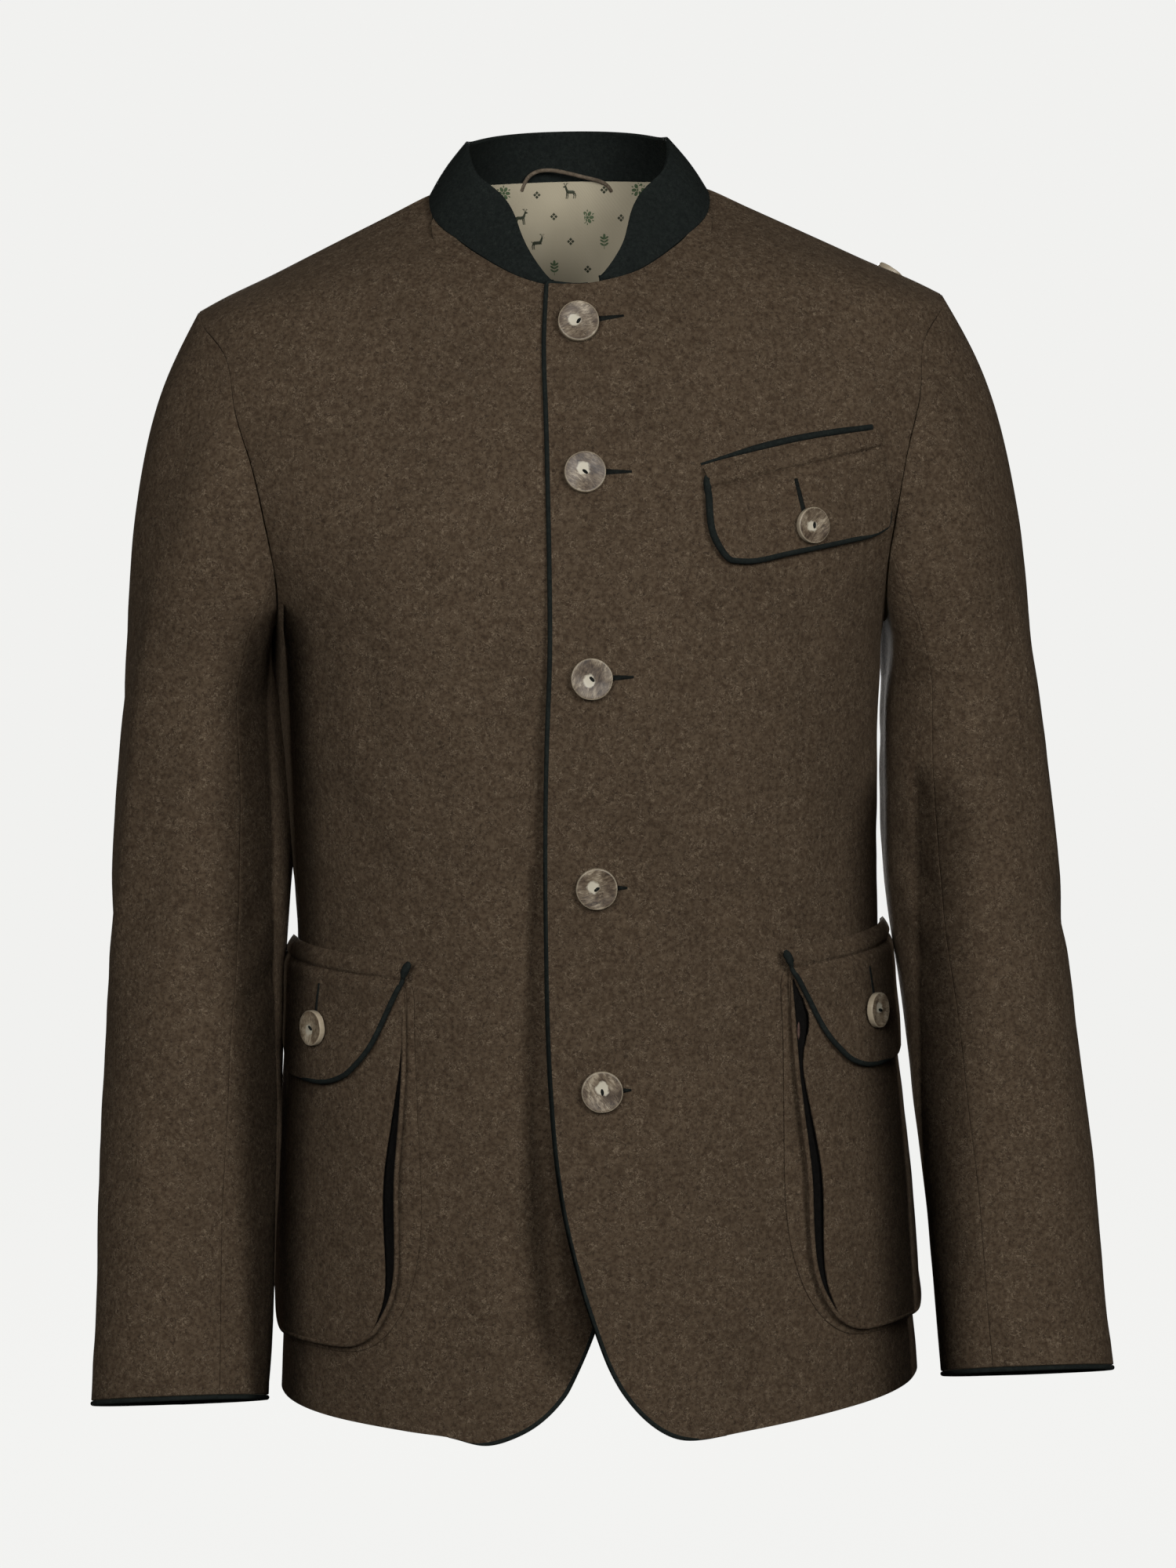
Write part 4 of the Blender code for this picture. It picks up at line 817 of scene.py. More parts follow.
# %% Sleeve parts
sleeves = {}
for side, word in SIDES:
    for part in ("top_sleeve_", "under_sleeve_"):
        piece = outer_sheet(part + word, part + word + "_cloth")
        piece.data.materials.append(loden)
        smooth_through(piece, PANEL_LEVELS)
        drape(piece, sleeve_mover(side))
        thicken(piece, CLOTH, CUT_EDGE, inner_material=lining_satin)
        finish_piece(piece, part + word, slot="loden")
        sleeves[part + word] = piece
        print(part + word, len(piece.data.polygons), "faces")

# %% [markdown]
# ## Collar
# A low standing band of firm green cloth. It is thicker than the body and rounded at the top,
# because its two layers are turned over a stiffener there.

# %% Collar band
COLLAR_CLOTH = 0.0026
COLLAR_ROUNDING = 0.0009
collar = outer_sheet("collar", "collar_band")
collar.data.materials.append(green_cloth)
smooth_through(collar, PANEL_LEVELS)
thicken(collar, COLLAR_CLOTH, COLLAR_ROUNDING, segments=3)
finish_piece(collar, "collar", slot="green_cloth")
print("collar", len(collar.data.polygons), "faces")

# %% [markdown]
# ## Pockets and flaps
# Patch pockets with a gusset round their edge stand a little off the body, and each has a flap
# sewn on above it. A third flap, with no pocket bag outside, crosses the left breast. The upper
# 11 mm of each flap is a band that was turned over and stitched down. The stitching pulls the
# cloth in to a groove, and the cloth swells a little on both sides of it.

# %% Bands across the flaps
BAND_HEIGHT = 0.0113
# The top of a pocket flap, at its front end and by how much it rises to its rear end.
FLAP_TOP, FLAP_RISE = -0.4470, 0.010
FLAP_FRONT_TURN, FLAP_REAR_TURN = 42.5, 91.0
# The same for the breast flap, which is measured straight across.
BREAST_TOP, BREAST_RISE = -0.1680, 0.021
BREAST_START, BREAST_LENGTH = 0.068, 0.104


def flap_band_line(point):
    """Height of the stitching that ends the band, at this point's turn from the centre front."""
    along = (abs(turn_of(point)) - FLAP_FRONT_TURN) / (FLAP_REAR_TURN - FLAP_FRONT_TURN)
    return FLAP_TOP + FLAP_RISE * clamp(along) - BAND_HEIGHT


def breast_band_line(point):
    return BREAST_TOP + BREAST_RISE * (point.x - BREAST_START) / BREAST_LENGTH - BAND_HEIGHT


print("band of a flap", BAND_HEIGHT * 1000, "mm")

# %% [markdown]
# The flap's points are moved along the way that the body faces. At the side of the body the
# flap is rolled over the edge of its pocket, so the band is rounder there and lies lower.

# %% Groove and swelling of a band
GROOVE_DEEP, GROOVE_WIDE = 0.0015, 0.0012
PUFF_ABOVE, PUFF_BELOW = 0.0013, 0.0007
PUFF_UNEVEN, PUFF_SCALE = 0.35, 60
SWELL_BELOW, SWELL_WIDE = 0.005, 0.004
ROLL_TURN, ROLL_TURNS = 82, 8
ROLL_PUFF, ROLL_DROP = 0.0008, 0.0110


def pull_in(piece, band_line):
    """Groove along the stitching, with a round band above it and a swelling below."""
    for vertex in piece.data.vertices:
        above = vertex.co.z - band_line(vertex.co)
        rolled = smooth_step((abs(turn_of(vertex.co)) - ROLL_TURN) / ROLL_TURNS)
        outward = outward_at(vertex.co)
        move = -GROOVE_DEEP * math.exp(-(above / GROOVE_WIDE) ** 2)
        if above > 0:
            puff = 0.9 + PUFF_UNEVEN * noise.noise(vertex.co * PUFF_SCALE)
            share = min(above / BAND_HEIGHT, 1.0)
            move += (PUFF_ABOVE * puff + ROLL_PUFF * rolled) * math.sin(math.pi * share) ** 0.7
            vertex.co.z -= ROLL_DROP * rolled ** 2 * share
        else:
            move += PUFF_BELOW * math.exp(-((above + SWELL_BELOW) / SWELL_WIDE) ** 2)
        vertex.co += outward * move
    piece.data.update()


print("groove", GROOVE_DEEP * 1000, "mm deep, band", PUFF_ABOVE * 1000, "mm high")

# %% [markdown]
# The breast flap is cut wider at its lower edge. Its corners are moved across by given amounts
# here, and each point then gets back the distance that it had from the chest.

# %% Corners of the breast flap
# A corner's move grows over a width of the flap, from the place where it begins.
INNER_REACH, INNER_DROP = 0.0066, 0.0014
INNER_BEGINS, INNER_OVER = 0.125, 0.045
OUTER_REACH = 0.0008
OUTER_BEGINS, OUTER_OVER = 0.135, 0.040
FLAP_DROP = 0.036
front_skin = surface_of(body["front_left"], body["front_right"])


def spread_corners(piece):
    """The breast flap's lower corners reach out to both sides, and stay as far off the chest."""
    for vertex in piece.data.vertices:
        place = vertex.co
        down = smooth_step((BREAST_TOP - place.z) / FLAP_DROP)
        inner = smooth_step((INNER_BEGINS - place.x) / INNER_OVER)
        outer = smooth_step((place.x - OUTER_BEGINS) / OUTER_OVER)
        seat = from_front(front_skin, place.x, place.z)[0]
        across = place.x + (OUTER_REACH * outer - INNER_REACH * inner) * down
        height = place.z - INNER_DROP * inner * down
        new_seat = from_front(front_skin, across, height)[0]
        if seat and new_seat:
            vertex.co = Vector((across, place.y + new_seat.y - seat.y, height))
    piece.data.update()


print("inner corner moved by", INNER_REACH * 1000, "mm")

# %% [markdown]
# A pocket panel is sewn to its gusset at the top and at the foot. Between them its front edge
# is free and pulled back, so a fold stands open there, widest about half way down.

# %% Open fold of a pocket
POCKET_TOP, POCKET_FOOT = -0.482, -0.668
FOLD_WIDE = 0.0085
FOLD_REACH = 0.020
MOUTHS = {1: 0.0100, -1: 0.0}
MOUTH_HEIGHT, MOUTH_TALL = -0.487, 0.018
EDGE_START = (0.114, -0.117, -0.464)
EDGE_VIA = (0.120, -0.115, -0.640)
EDGE_END = (0.135, -0.110, -0.670)


def on_side(place, side):
    """This place of the left side, or its mirror place on the right side."""
    return (side * place[0], place[1], place[2])


def fold_width(height, side):
    """How far a pocket's fold stands open. The left one also gapes high up, beneath the flap."""
    share = clamp((POCKET_TOP - height) / (POCKET_TOP - POCKET_FOOT))
    mouth = MOUTHS[side] * math.exp(-((height - MOUTH_HEIGHT) / MOUTH_TALL) ** 2)
    return mouth + FOLD_WIDE * math.sin(math.pi * share ** 1.3) ** 0.8


def draw_in(piece, side):
    """The free edge of a pocket panel is drawn in between its two sewn ends. The rim is kept."""
    rim = rim_of(piece)
    run = rim_between(rim, *(on_side(place, side) for place in (EDGE_START, EDGE_VIA, EDGE_END)))
    edge = spaced([place for place, facing in run], 0.002)
    for vertex in piece.data.vertices:
        near = min(edge, key=lambda place: (place - vertex.co).length_squared)
        share = math.exp(-((near - vertex.co).length / FOLD_REACH) ** 2)
        vertex.co += away_from_front(near, side) * fold_width(near.z, side) * share
    piece.data.update()
    return rim


print("fold of a pocket", FOLD_WIDE * 1000, "mm")

# %% [markdown]
# The flaps get one more level of subdivision than the pockets, because the groove is narrow.
# They are also thicker, being two layers of cloth, while a pocket is one.

# %% Pocket panels and flaps
POCKET_CLOTH = 0.0016
FLAP_CLOTH = 0.0024
TURNED_EDGE = 0.0006
pockets = {}
for name in ("pocket_left", "pocket_right", "flap_left", "flap_right", "breast_flap"):
    is_flap = "flap" in name
    piece = outer_sheet(name, name + "_cloth")
    piece.data.materials.append(loden)
    smooth_through(piece, PANEL_LEVELS + 1 if is_flap else PANEL_LEVELS)
    drape(piece, body_move)
    if is_flap:
        pull_in(piece, breast_band_line if name == "breast_flap" else flap_band_line)
    if name == "breast_flap":
        spread_corners(piece)
    if is_flap:
        rims[name] = rim_of(piece)
    else:
        rims[name] = draw_in(piece, 1 if "left" in name else -1)
    thicken(piece, FLAP_CLOTH if is_flap else POCKET_CLOTH, TURNED_EDGE)
    finish_piece(piece, name, slot="loden")
    pockets[name] = piece
    print(name, len(piece.data.polygons), "faces")

# %% [markdown]
# ## Pipings, stripes and gussets
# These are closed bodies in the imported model. They are smoothed all round in the same way, and
# move with the cloth that they are sewn to.

# %% Closed trims
TRIM_LEVELS = 2


def smooth_body(node, name, material, slot, mover):
    piece = copy_of(node, name)
    piece.data.materials.append(material)
    join_triangles(piece)
    smooth_through(piece, TRIM_LEVELS)
    drape(piece, mover)
    activate(piece)
    bpy.ops.object.shade_smooth_by_angle(angle=math.radians(60))
    finish_piece(piece, node, slot=slot)
    return piece


trims = {}
for side, word in SIDES:
    name = "cuff_piping_" + word
    trims[name] = smooth_body(name, name + "_cord", green_cloth, "green_cloth", sleeve_mover(side))
    name = "gusset_" + word
    trims[name] = smooth_body(name, name + "_cloth", loden, "loden", body_move)
print("trims", {name: len(piece.data.polygons) for name, piece in trims.items()})

# %% [markdown]
# Every edging is a cord laid along a line of points: a curve with a round bevel, made a mesh.
# The curve carries a thickness at each of its points, which makes its ends run out thin.

# %% Round cord
def round_cord(name, points, radius, material, thin_ends=(1.0, 1.0), thin_over=6):
    """A round cord along these points; its ends can grow thinner."""
    bpy.ops.curve.primitive_nurbs_path_add()
    cord = bpy.context.object
    cord.name = name
    line = cord.data.splines[0]
    line.points.add(len(points) - len(line.points))
    last = len(points) - 1
    for index, point in enumerate(points):
        line.points[index].co = (*point, 1)
        start = thin_ends[0] + (1 - thin_ends[0]) * smooth_step(index / thin_over)
        end = thin_ends[1] + (1 - thin_ends[1]) * smooth_step((last - index) / thin_over)
        line.points[index].radius = min(start, end)
    line.order_u = 3
    line.resolution_u = 2
    line.use_endpoint_u = True
    cord.data.bevel_depth = radius
    cord.data.bevel_resolution = 3
    cord.data.use_fill_caps = True
    cord.data.materials.append(material)
    activate(cord)
    bpy.ops.object.convert(target='MESH')
    bpy.ops.object.shade_smooth_by_angle(angle=math.radians(60))
    return cord


def edge_line(name, route, thickness, spacing=0.003):
    """Even points along a rim, by way of three places, in the middle of the cloth's thickness."""
    run = rim_between(rims[name], *route)
    return spaced([place - facing * thickness / 2 for place, facing in run], spacing)


print("tools for cords:", round_cord.__name__, edge_line.__name__)

# %% [markdown]
# A piping swells and shrinks along its way. Its factors of thickness are written down by the
# distance from its start, and each ring of the finished cord is scaled about its own middle.

# %% Cord of uneven thickness
def swollen_cord(name, points, radius, material, thicker):
    """A round cord whose thickness follows a list of (place along in metres, factor)."""
    cord = round_cord(name, points, radius, material)
    travelled, length = [0.0], 0.0
    for first, second in zip(points, points[1:]):
        length += (second - first).length
        travelled.append(length)
    for vertex in cord.data.vertices:
        near = min(range(len(points)), key=lambda index: (points[index] - vertex.co).length_squared)
        along = travelled[near]
        before = [item for item in thicker if item[0] <= along][-1]
        after = ([item for item in thicker if item[0] > along] or [before])[0]
        span = max(after[0] - before[0], 1e-6)
        factor = before[1] + (after[1] - before[1]) * smooth_step((along - before[0]) / span)
        ahead = (points[min(near + 1, len(points) - 1)] - points[max(near - 1, 0)]).normalized()
        reach = vertex.co - points[near]
        slide = ahead * reach.dot(ahead)
        vertex.co = points[near] + slide + (reach - slide) * factor
    return cord


def steepen(line, low, side, reach):
    """The start of a piping, above this height, hangs more nearly upright."""
    return [place + Vector((side * reach * smooth_step((place.z - low) / 0.012), 0, 0))
            for place in line]


print("tool for pipings:", swollen_cord.__name__)

# %% [markdown]
# The flaps are piped along their free edges. The piping is a bias strip round a string: it
# starts fat where it was folded under the band, is drawn in by the band's stitching, and then
# keeps one thickness round the corners. It runs along the rim of the finished flap.

# %% Pipings of the flaps
FLAP_PIPING, BREAST_PIPING = 0.0016, 0.0018
STEEP_ABOVE, STEEP_REACH = -0.460, 0.0022
FLAP_ROUTE = ((0.107, -0.115, -0.447), (0.155, -0.085, -0.519), (0.185, -0.020, -0.480))
FLAP_SWELLS = [(0.0, 0.9), (0.002, 1.5), (0.006, 1.45), (0.0105, 0.75), (0.016, 1.05),
               (0.110, 1.05), (0.135, 0.5), (1.0, 0.5)]
BREAST_ROUTE = ((0.0675, -0.118, -0.1725), (0.076, -0.122, -0.2106), (0.1740, -0.088, -0.1960))
BREAST_SWELLS = [(0.0, 0.5), (0.004, 1.25), (0.035, 1.2), (0.06, 1.05), (0.135, 1.0),
                 (0.158, 0.7), (1.0, 0.7)]
for side, word in SIDES:
    line = edge_line("flap_" + word, [on_side(place, side) for place in FLAP_ROUTE], FLAP_CLOTH)
    line = steepen(line, STEEP_ABOVE, side, STEEP_REACH)
    piece = swollen_cord("flap_piping_" + word + "_cord", line, FLAP_PIPING, green_cloth,
                         FLAP_SWELLS)
    finish_piece(piece, "flap_piping_" + word, slot="green_cloth")
line = edge_line("breast_flap", BREAST_ROUTE, FLAP_CLOTH)
piece = swollen_cord("breast_flap_piping_cord", line, BREAST_PIPING, green_cloth, BREAST_SWELLS)
finish_piece(piece, "breast_flap_piping", slot="green_cloth")
print("flap piping", len(line) * 3, "mm round the breast flap")

# %% [markdown]
# The stripe above the breast flap is a lens-shaped strip of the green cloth, caught in the
# seam: a thin point at its inner end, thickest near the middle, and cut square at the outer end.

# %% Stripe of the breast flap
STRIPE_STEPS = 35
STRIPE_RADIUS, STRIPE_SUNK = 0.0021, 0.0002
STRIPE_START, STRIPE_END = 0.0672, 0.1700
STRIPE_LOW, STRIPE_RISE, STRIPE_ARCH = -0.1650, 0.0192, 0.0030
STRIPE_SWELLS = [(0.0, 0.40), (0.045, 1.0), (0.085, 0.95), (0.107, 0.85), (1.0, 0.85)]
line = []
for step in range(STRIPE_STEPS + 1):
    share = step / STRIPE_STEPS
    across = STRIPE_START + (STRIPE_END - STRIPE_START) * share
    height = STRIPE_LOW + STRIPE_RISE * share + STRIPE_ARCH * math.sin(math.pi * share)
    place, facing = from_front(front_skin, across, height)
    line.append(place - facing * STRIPE_SUNK)
piece = swollen_cord("breast_stripe_cord", line, STRIPE_RADIUS, green_cloth, STRIPE_SWELLS)
finish_piece(piece, "breast_stripe", slot="green_cloth")
print("stripe", round(sum((b - a).length for a, b in zip(line, line[1:])) * 1000), "mm")

# %% [markdown]
# Some thin things are laid on the cloth point by point, because they have to follow it
# closely: a probe finds each point. Such a piece is built from its points and its faces.

# %% Piece from laid points
def mesh_piece(name, points, faces, material):
    mesh = bpy.data.meshes.new(name)
    mesh.from_pydata(points, [], faces)
    piece = bpy.data.objects.new(name, mesh)
    scene.collection.objects.link(piece)
    piece.data.materials.append(material)
    return piece


print("tool for laid pieces:", mesh_piece.__name__)

# %% [markdown]
# The front edge of a pocket panel stands open between its sewn ends, so a deep wedge shows
# beside it, widest half way down, and on the left pocket also under the flap. A near-black
# strip covers the front of the jacket in there. It is painted shade, standing for the deep
# shadow in the fold, and it is laid row by row on what lies under the fold.

# %% Painted shade in the open fold
PAINTED_SHADE_COLUMNS = 10
PAINTED_SHADE_LIFT = 0.0006
PAINTED_SHADE_CLOTH = 0.0003
# The strip starts just behind the panel's edge, and is tucked in under the other side.
PAINTED_SHADE_START, PAINTED_SHADE_TUCK = 0.0002, 0.0020
PAINTED_SHADE_SPREAD = 1.24
PAINTED_SHADE_ROUTE = (EDGE_START, EDGE_VIA, (0.150, -0.090, -0.672))
# Near-black cloth: painted shade that stands for the shadow deep in the pocket's open fold.
pocketing = felt("pocketing", dark=(0.0030, 0.0026, 0.0022), light=(0.0062, 0.0054, 0.0047),
                 pale_fibre=(0.014, 0.012, 0.010), dark_fibre=(0.002, 0.0016, 0.0014),
                 pale_share=0.2, grain=0.0001)
for side, word in SIDES:
    route = [on_side(place, side) for place in PAINTED_SHADE_ROUTE]
    rows = [place for place in edge_line("pocket_" + word, route, 0.0, spacing=0.004)
            if fold_width(place.z, side) > PAINTED_SHADE_CLOTH]
    under = surface_of(trims["gusset_" + word], body["front_" + word])
    points, faces = [], []
    for place in rows:
        for column in range(PAINTED_SHADE_COLUMNS + 1):
            width = PAINTED_SHADE_SPREAD * fold_width(place.z, side) + PAINTED_SHADE_TUCK
            reach = PAINTED_SHADE_START + width * column / PAINTED_SHADE_COLUMNS
            spot = place + away_from_front(place, side) * reach
            seat, facing = from_front(under, spot.x, spot.z)
            points.append(seat + facing * PAINTED_SHADE_LIFT)
    wide = PAINTED_SHADE_COLUMNS + 1
    for row in range(len(rows) - 1):
        for column in range(PAINTED_SHADE_COLUMNS):
            corner = row * wide + column
            faces.append((corner, corner + 1, corner + 1 + wide, corner + wide))
    piece = mesh_piece("pocketing_" + word, points, faces, pocketing)
    thicken(piece, PAINTED_SHADE_CLOTH, 0.0)
    finish_piece(piece, slot="green_cloth")
    trims["pocketing_" + word] = piece
    print("pocketing", word, len(rows), "rows")

# %% [markdown]
# The seam of each gusset stands up as a soft ridge of loden all round the pocket. In the
# open part the panel's own edge runs beside it, with the dark gap between them.

# %% Seam ridges of the pockets
RIDGE_ROUTE = (EDGE_START, (0.135, -0.112, -0.672), (0.193, -0.030, -0.640))
RIDGE_RADIUS = 0.0015
for side, word in SIDES:
    route = [on_side(place, side) for place in RIDGE_ROUTE]
    line = edge_line("pocket_" + word, route, POCKET_CLOTH, spacing=0.005)
    piece = round_cord("pocket_edge_" + word, line, RIDGE_RADIUS, loden,
                       thin_ends=(0.4, 0.4), thin_over=5)
    finish_piece(piece, slot="loden")
    trims["pocket_edge_" + word] = piece
    print("pocket ridge", word, len(line) * 5, "mm")

# %% [markdown]
# The front edges are bound rather than piped: a narrow green strip is folded round the cut edge.
# The binding runs along the rim of the finished panel, at the middle of its thickness, so
# it holds the edge between its two layers. On the over front it starts at the collar's end.

# %% Bound front edges
BINDING_RADIUS = 0.0016
EDGE_RUNS = {
    "front_left": ((0.007, -0.078, -0.060), (-0.028, -0.137, -0.40), (0.066, -0.132, -0.728)),
    "front_right": ((0.017, -0.075, -0.060), (0.022, -0.134, -0.40), (-0.096, -0.130, -0.728)),
}
for name, route in EDGE_RUNS.items():
    word = name.replace("front_", "")
    line = edge_line(name, route, CLOTH, spacing=0.004)
    piece = round_cord("front_binding_" + word, line, BINDING_RADIUS, green_cloth,
                       thin_ends=(0.5, 0.25), thin_over=8)
    finish_piece(piece, "front_piping_" + word, slot="green_cloth")
    print("front binding", word, len(piece.data.polygons), "faces")

# %% [markdown]
# ## Buttons
# Slices of stag horn: a brown polished face with streaks, a pale porous core in the middle,
# and a pale bevelled rim. The finish reads a map of the disc, whose middle is 0 and whose rim
# is 1, so core and rim stay in their places, while the streaks differ from button to button.

# %% Horn
HORN_SHIFT = (31.0, 17.0, 9.0)
CORE_ASIDE = (0.16, -0.10, 0.0)
CRACK_BROWN = (0.022, 0.014, 0.009)
CORE_PALE = (0.60, 0.55, 0.43)
RIM_PALE = (0.46, 0.39, 0.28)


def length_of(made, vector):
    node = add_node(made, "ShaderNodeVectorMath", operation='LENGTH')
    link(made, vector, node.inputs[0])
    return node.outputs["Value"]


def horn_material(name, darkest, dark, middle, light):
    made = new_material(name, roughness=0.36, specular=0.40)
    disc = add_node(made, "ShaderNodeUVMap", uv_map="Disc").outputs["UV"]
    place = moved_per_piece(made, disc, HORN_SHIFT)
    stretch = add_node(made, "ShaderNodeMapping")
    stretch.inputs["Scale"].default_value = (1.0, 3.2, 1.0)
    link(made, place, stretch.inputs["Vector"])
    grain = stretch.outputs["Vector"]
    fine = cloud(made, grain, 3.0, detail=5.0, distortion=1.0)
    streaks = sum_of(made, cloud(made, place, 1.5, detail=2.0), times(made, fine, 0.45), 0.60)
    color = ramp(made, streaks, [(0.36, darkest), (0.48, dark), (0.58, middle), (0.70, light)])
    crack = band(made, cloud(made, grain, 1.3, detail=3.0, distortion=1.5), 0.52, 0.018)
    color = blend(made, times(made, crack, 0.8), color, CRACK_BROWN)
    aside = add_node(made, "ShaderNodeVectorMath", operation='ADD')
    link(made, disc, aside.inputs[0])
    aside.inputs[1].default_value = CORE_ASIDE
    from_core = length_of(made, aside.outputs[0])
    away = sum_of(made, cloud(made, place, 3.0, detail=3.0), from_core, 0.42)
    core = ramp(made, away, [(0.46, (1.0,)), (0.56, (0.0,))])
    color = blend(made, times(made, core, 0.9), color, CORE_PALE)
    rim = ramp(made, length_of(made, disc), [(0.93, (0.0,)), (0.985, (0.75,))])
    paint(made, blend(made, rim, color, RIM_PALE))
    relief(made, sum_of(made, core, streaks, -0.5), 0.00015)
    return made


stag_horn = horn_material("stag_horn", (0.040, 0.025, 0.015), (0.105, 0.074, 0.048),
                          (0.200, 0.155, 0.105), (0.44, 0.37, 0.27))
pale_horn = horn_material("pale_horn", (0.090, 0.058, 0.034), (0.210, 0.155, 0.100),
                          (0.36, 0.29, 0.20), (0.55, 0.47, 0.35))
print("horn", stag_horn.name, pale_horn.name)

# %% [markdown]
# One button is made lying flat at the origin, with a radius of 1. Its face is inset three times
# and sinks a little towards the middle, and its edges are bevelled, because horn slices are
# ground and polished. A little noise keeps it from being a perfect circle.

# %% One button
BUTTON_INSETS = ((0.10, 0.0), (0.30, -0.035), (0.30, -0.02))
UNEVEN_ROUND, UNEVEN_FACE = 0.025, 0.030
bpy.ops.mesh.primitive_cylinder_add(vertices=48, radius=1.0, depth=0.36)
button = bpy.context.object
activate(button, 'EDIT')
bpy.ops.mesh.select_mode(type='FACE')
bpy.ops.object.mode_set(mode='OBJECT')
for face in button.data.polygons:
    face.select = face.normal.z > 0.9
bpy.ops.object.mode_set(mode='EDIT')
for thickness, depth in BUTTON_INSETS:
    bpy.ops.mesh.inset(thickness=thickness, depth=depth)
bpy.ops.mesh.poke()
bpy.ops.object.mode_set(mode='OBJECT')
edge = button.modifiers.new("Edge", 'BEVEL')
edge.width = 0.055
edge.segments = 3
edge.limit_method = 'ANGLE'
edge.angle_limit = math.radians(50)
bpy.ops.object.modifier_apply(modifier="Edge")
disc = button.data.uv_layers.new(name="Disc")
for corner in button.data.loops:
    place = button.data.vertices[corner.vertex_index].co
    disc.data[corner.index].uv = (place.x, place.y)
for vertex in button.data.vertices:
    bump = noise.noise(Vector((vertex.co.x * 1.6, vertex.co.y * 1.6, 0.3)))
    vertex.co.x *= 1 + UNEVEN_ROUND * bump
    vertex.co.z += UNEVEN_FACE * bump
button.data.materials.append(stag_horn)
bpy.ops.object.shade_smooth_by_angle(angle=math.radians(40))
print("button", len(button.data.polygons), "faces")

# %% [markdown]
# Each button is a copy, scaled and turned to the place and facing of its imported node, and moved
# with the cloth under it. The turns are written down one by one, as hands would leave them.

# %% Buttons in their places
def button_frame(node):
    """Centre, facing and radius of a packed button."""
    points = [vertex.co for vertex in nodes[node].data.vertices]
    centre = sum(points, Vector()) / len(points)
    facing = Vector()
    for face in nodes[node].data.polygons:
        if face.normal.dot(centre - Vector((0, 0.02, centre.z))) > 0:
            facing += face.normal * face.area
    facing.normalize()
    radius = max((point - centre).length for point in points)
    return centre, facing, radius


BUTTON_TURNS = {
    "front_button_1": 20, "front_button_2": -35, "front_button_3": 65, "front_button_4": 10,
    "front_button_5": -60, "breast_button": 40, "pocket_button_left": -20,
    "pocket_button_right": 75, "shoulder_button": 15,
}
buttons = {}
for node, turn in BUTTON_TURNS.items():
    centre, facing, radius = button_frame(node)
    piece = bpy.data.objects.new(node + "_horn", button.data.copy())
    scene.collection.objects.link(piece)
    size = Matrix.Diagonal((radius, radius, radius, 1))
    tilt = facing.to_track_quat('Z', 'Y').to_matrix().to_4x4()
    place = Matrix.Translation(centre + body_move(centre)) @ tilt
    piece.data.transform(place @ Matrix.Rotation(math.radians(turn), 4, 'Z') @ size)
    if "pocket" in node:
        piece.data.materials[0] = pale_horn
    finish_piece(piece, node, slot="horn")
    buttons[node] = (centre, facing)
bpy.data.objects.remove(button)
print("buttons", len(buttons))

# %% [markdown]
# ## Sewing by hand
# One stitch is modelled as a small rounded grain. Seams, buttonholes and the thread on the
# buttons are many copies of it, each turned, stretched and placed on the cloth, and joined.

# %% One stitch
bpy.ops.mesh.primitive_uv_sphere_add(segments=8, ring_count=5, radius=0.5)
stitch = bpy.context.object
for vertex in stitch.data.vertices:
    vertex.co.x *= 1.0 - 0.25 * abs(vertex.co.z)
stitch_points = [vertex.co.copy() for vertex in stitch.data.vertices]
stitch_faces = [tuple(face.vertices) for face in stitch.data.polygons]
bpy.data.objects.remove(stitch)
Mark = namedtuple("Mark", "place along facing length width height")


def sew(name, marks, material, slot):
    """All the marks as one piece of small stitches."""
    points, faces = [], []
    for mark in marks:
        along = mark.along.normalized()
        across = mark.facing.cross(along).normalized()
        upward = along.cross(across)
        shift = len(points)
        for point in stitch_points:
            points.append(mark.place + along * point.x * mark.length
                          + across * point.y * mark.width + upward * point.z * mark.height)
        faces += [tuple(index + shift for index in face) for face in stitch_faces]
    piece = mesh_piece(name, points, faces, material)
    activate(piece)
    bpy.ops.object.shade_smooth()
    finish_piece(piece, slot=slot)
    print(name, len(marks), "stitches")


def run_of_stitches(line, length, gap, width, sink=0.0):
    """Stitches along a line of places and facings, with a gap between them."""
    places = [place for place, facing in line]
    spots = spaced(places, length + gap)
    marks = []
    for first, second in zip(spots, spots[1:]):
        middle = (first + second) / 2
        facing = min(line, key=lambda item: (item[0] - middle).length)[1]
        marks.append(Mark(middle - facing * sink, second - first, facing, length, width, width))
    return marks


print("one stitch has", len(stitch_faces), "faces")

# %% [markdown]
# Buttonholes are worked with dark green silk. Stitches lie side by side across the slit, close
# together, and get shorter towards its end, so that the hole looks like a thin wedge. On the
# pocket flaps the cloth is met from outside, because those turn round the body.

# %% Stitches of a buttonhole
STITCH_WIDE, STITCH_HIGH = 0.00060, 0.0011


def from_side(surface, turn, height):
    """Place and facing of the first cloth met from outside, at a turn from the centre front."""
    out = Vector((math.sin(math.radians(turn)), -math.cos(math.radians(turn)), 0))
    place, facing, _, _ = surface.ray_cast(out * 0.5 + Vector((0, 0, height)), -out)
    return place, facing


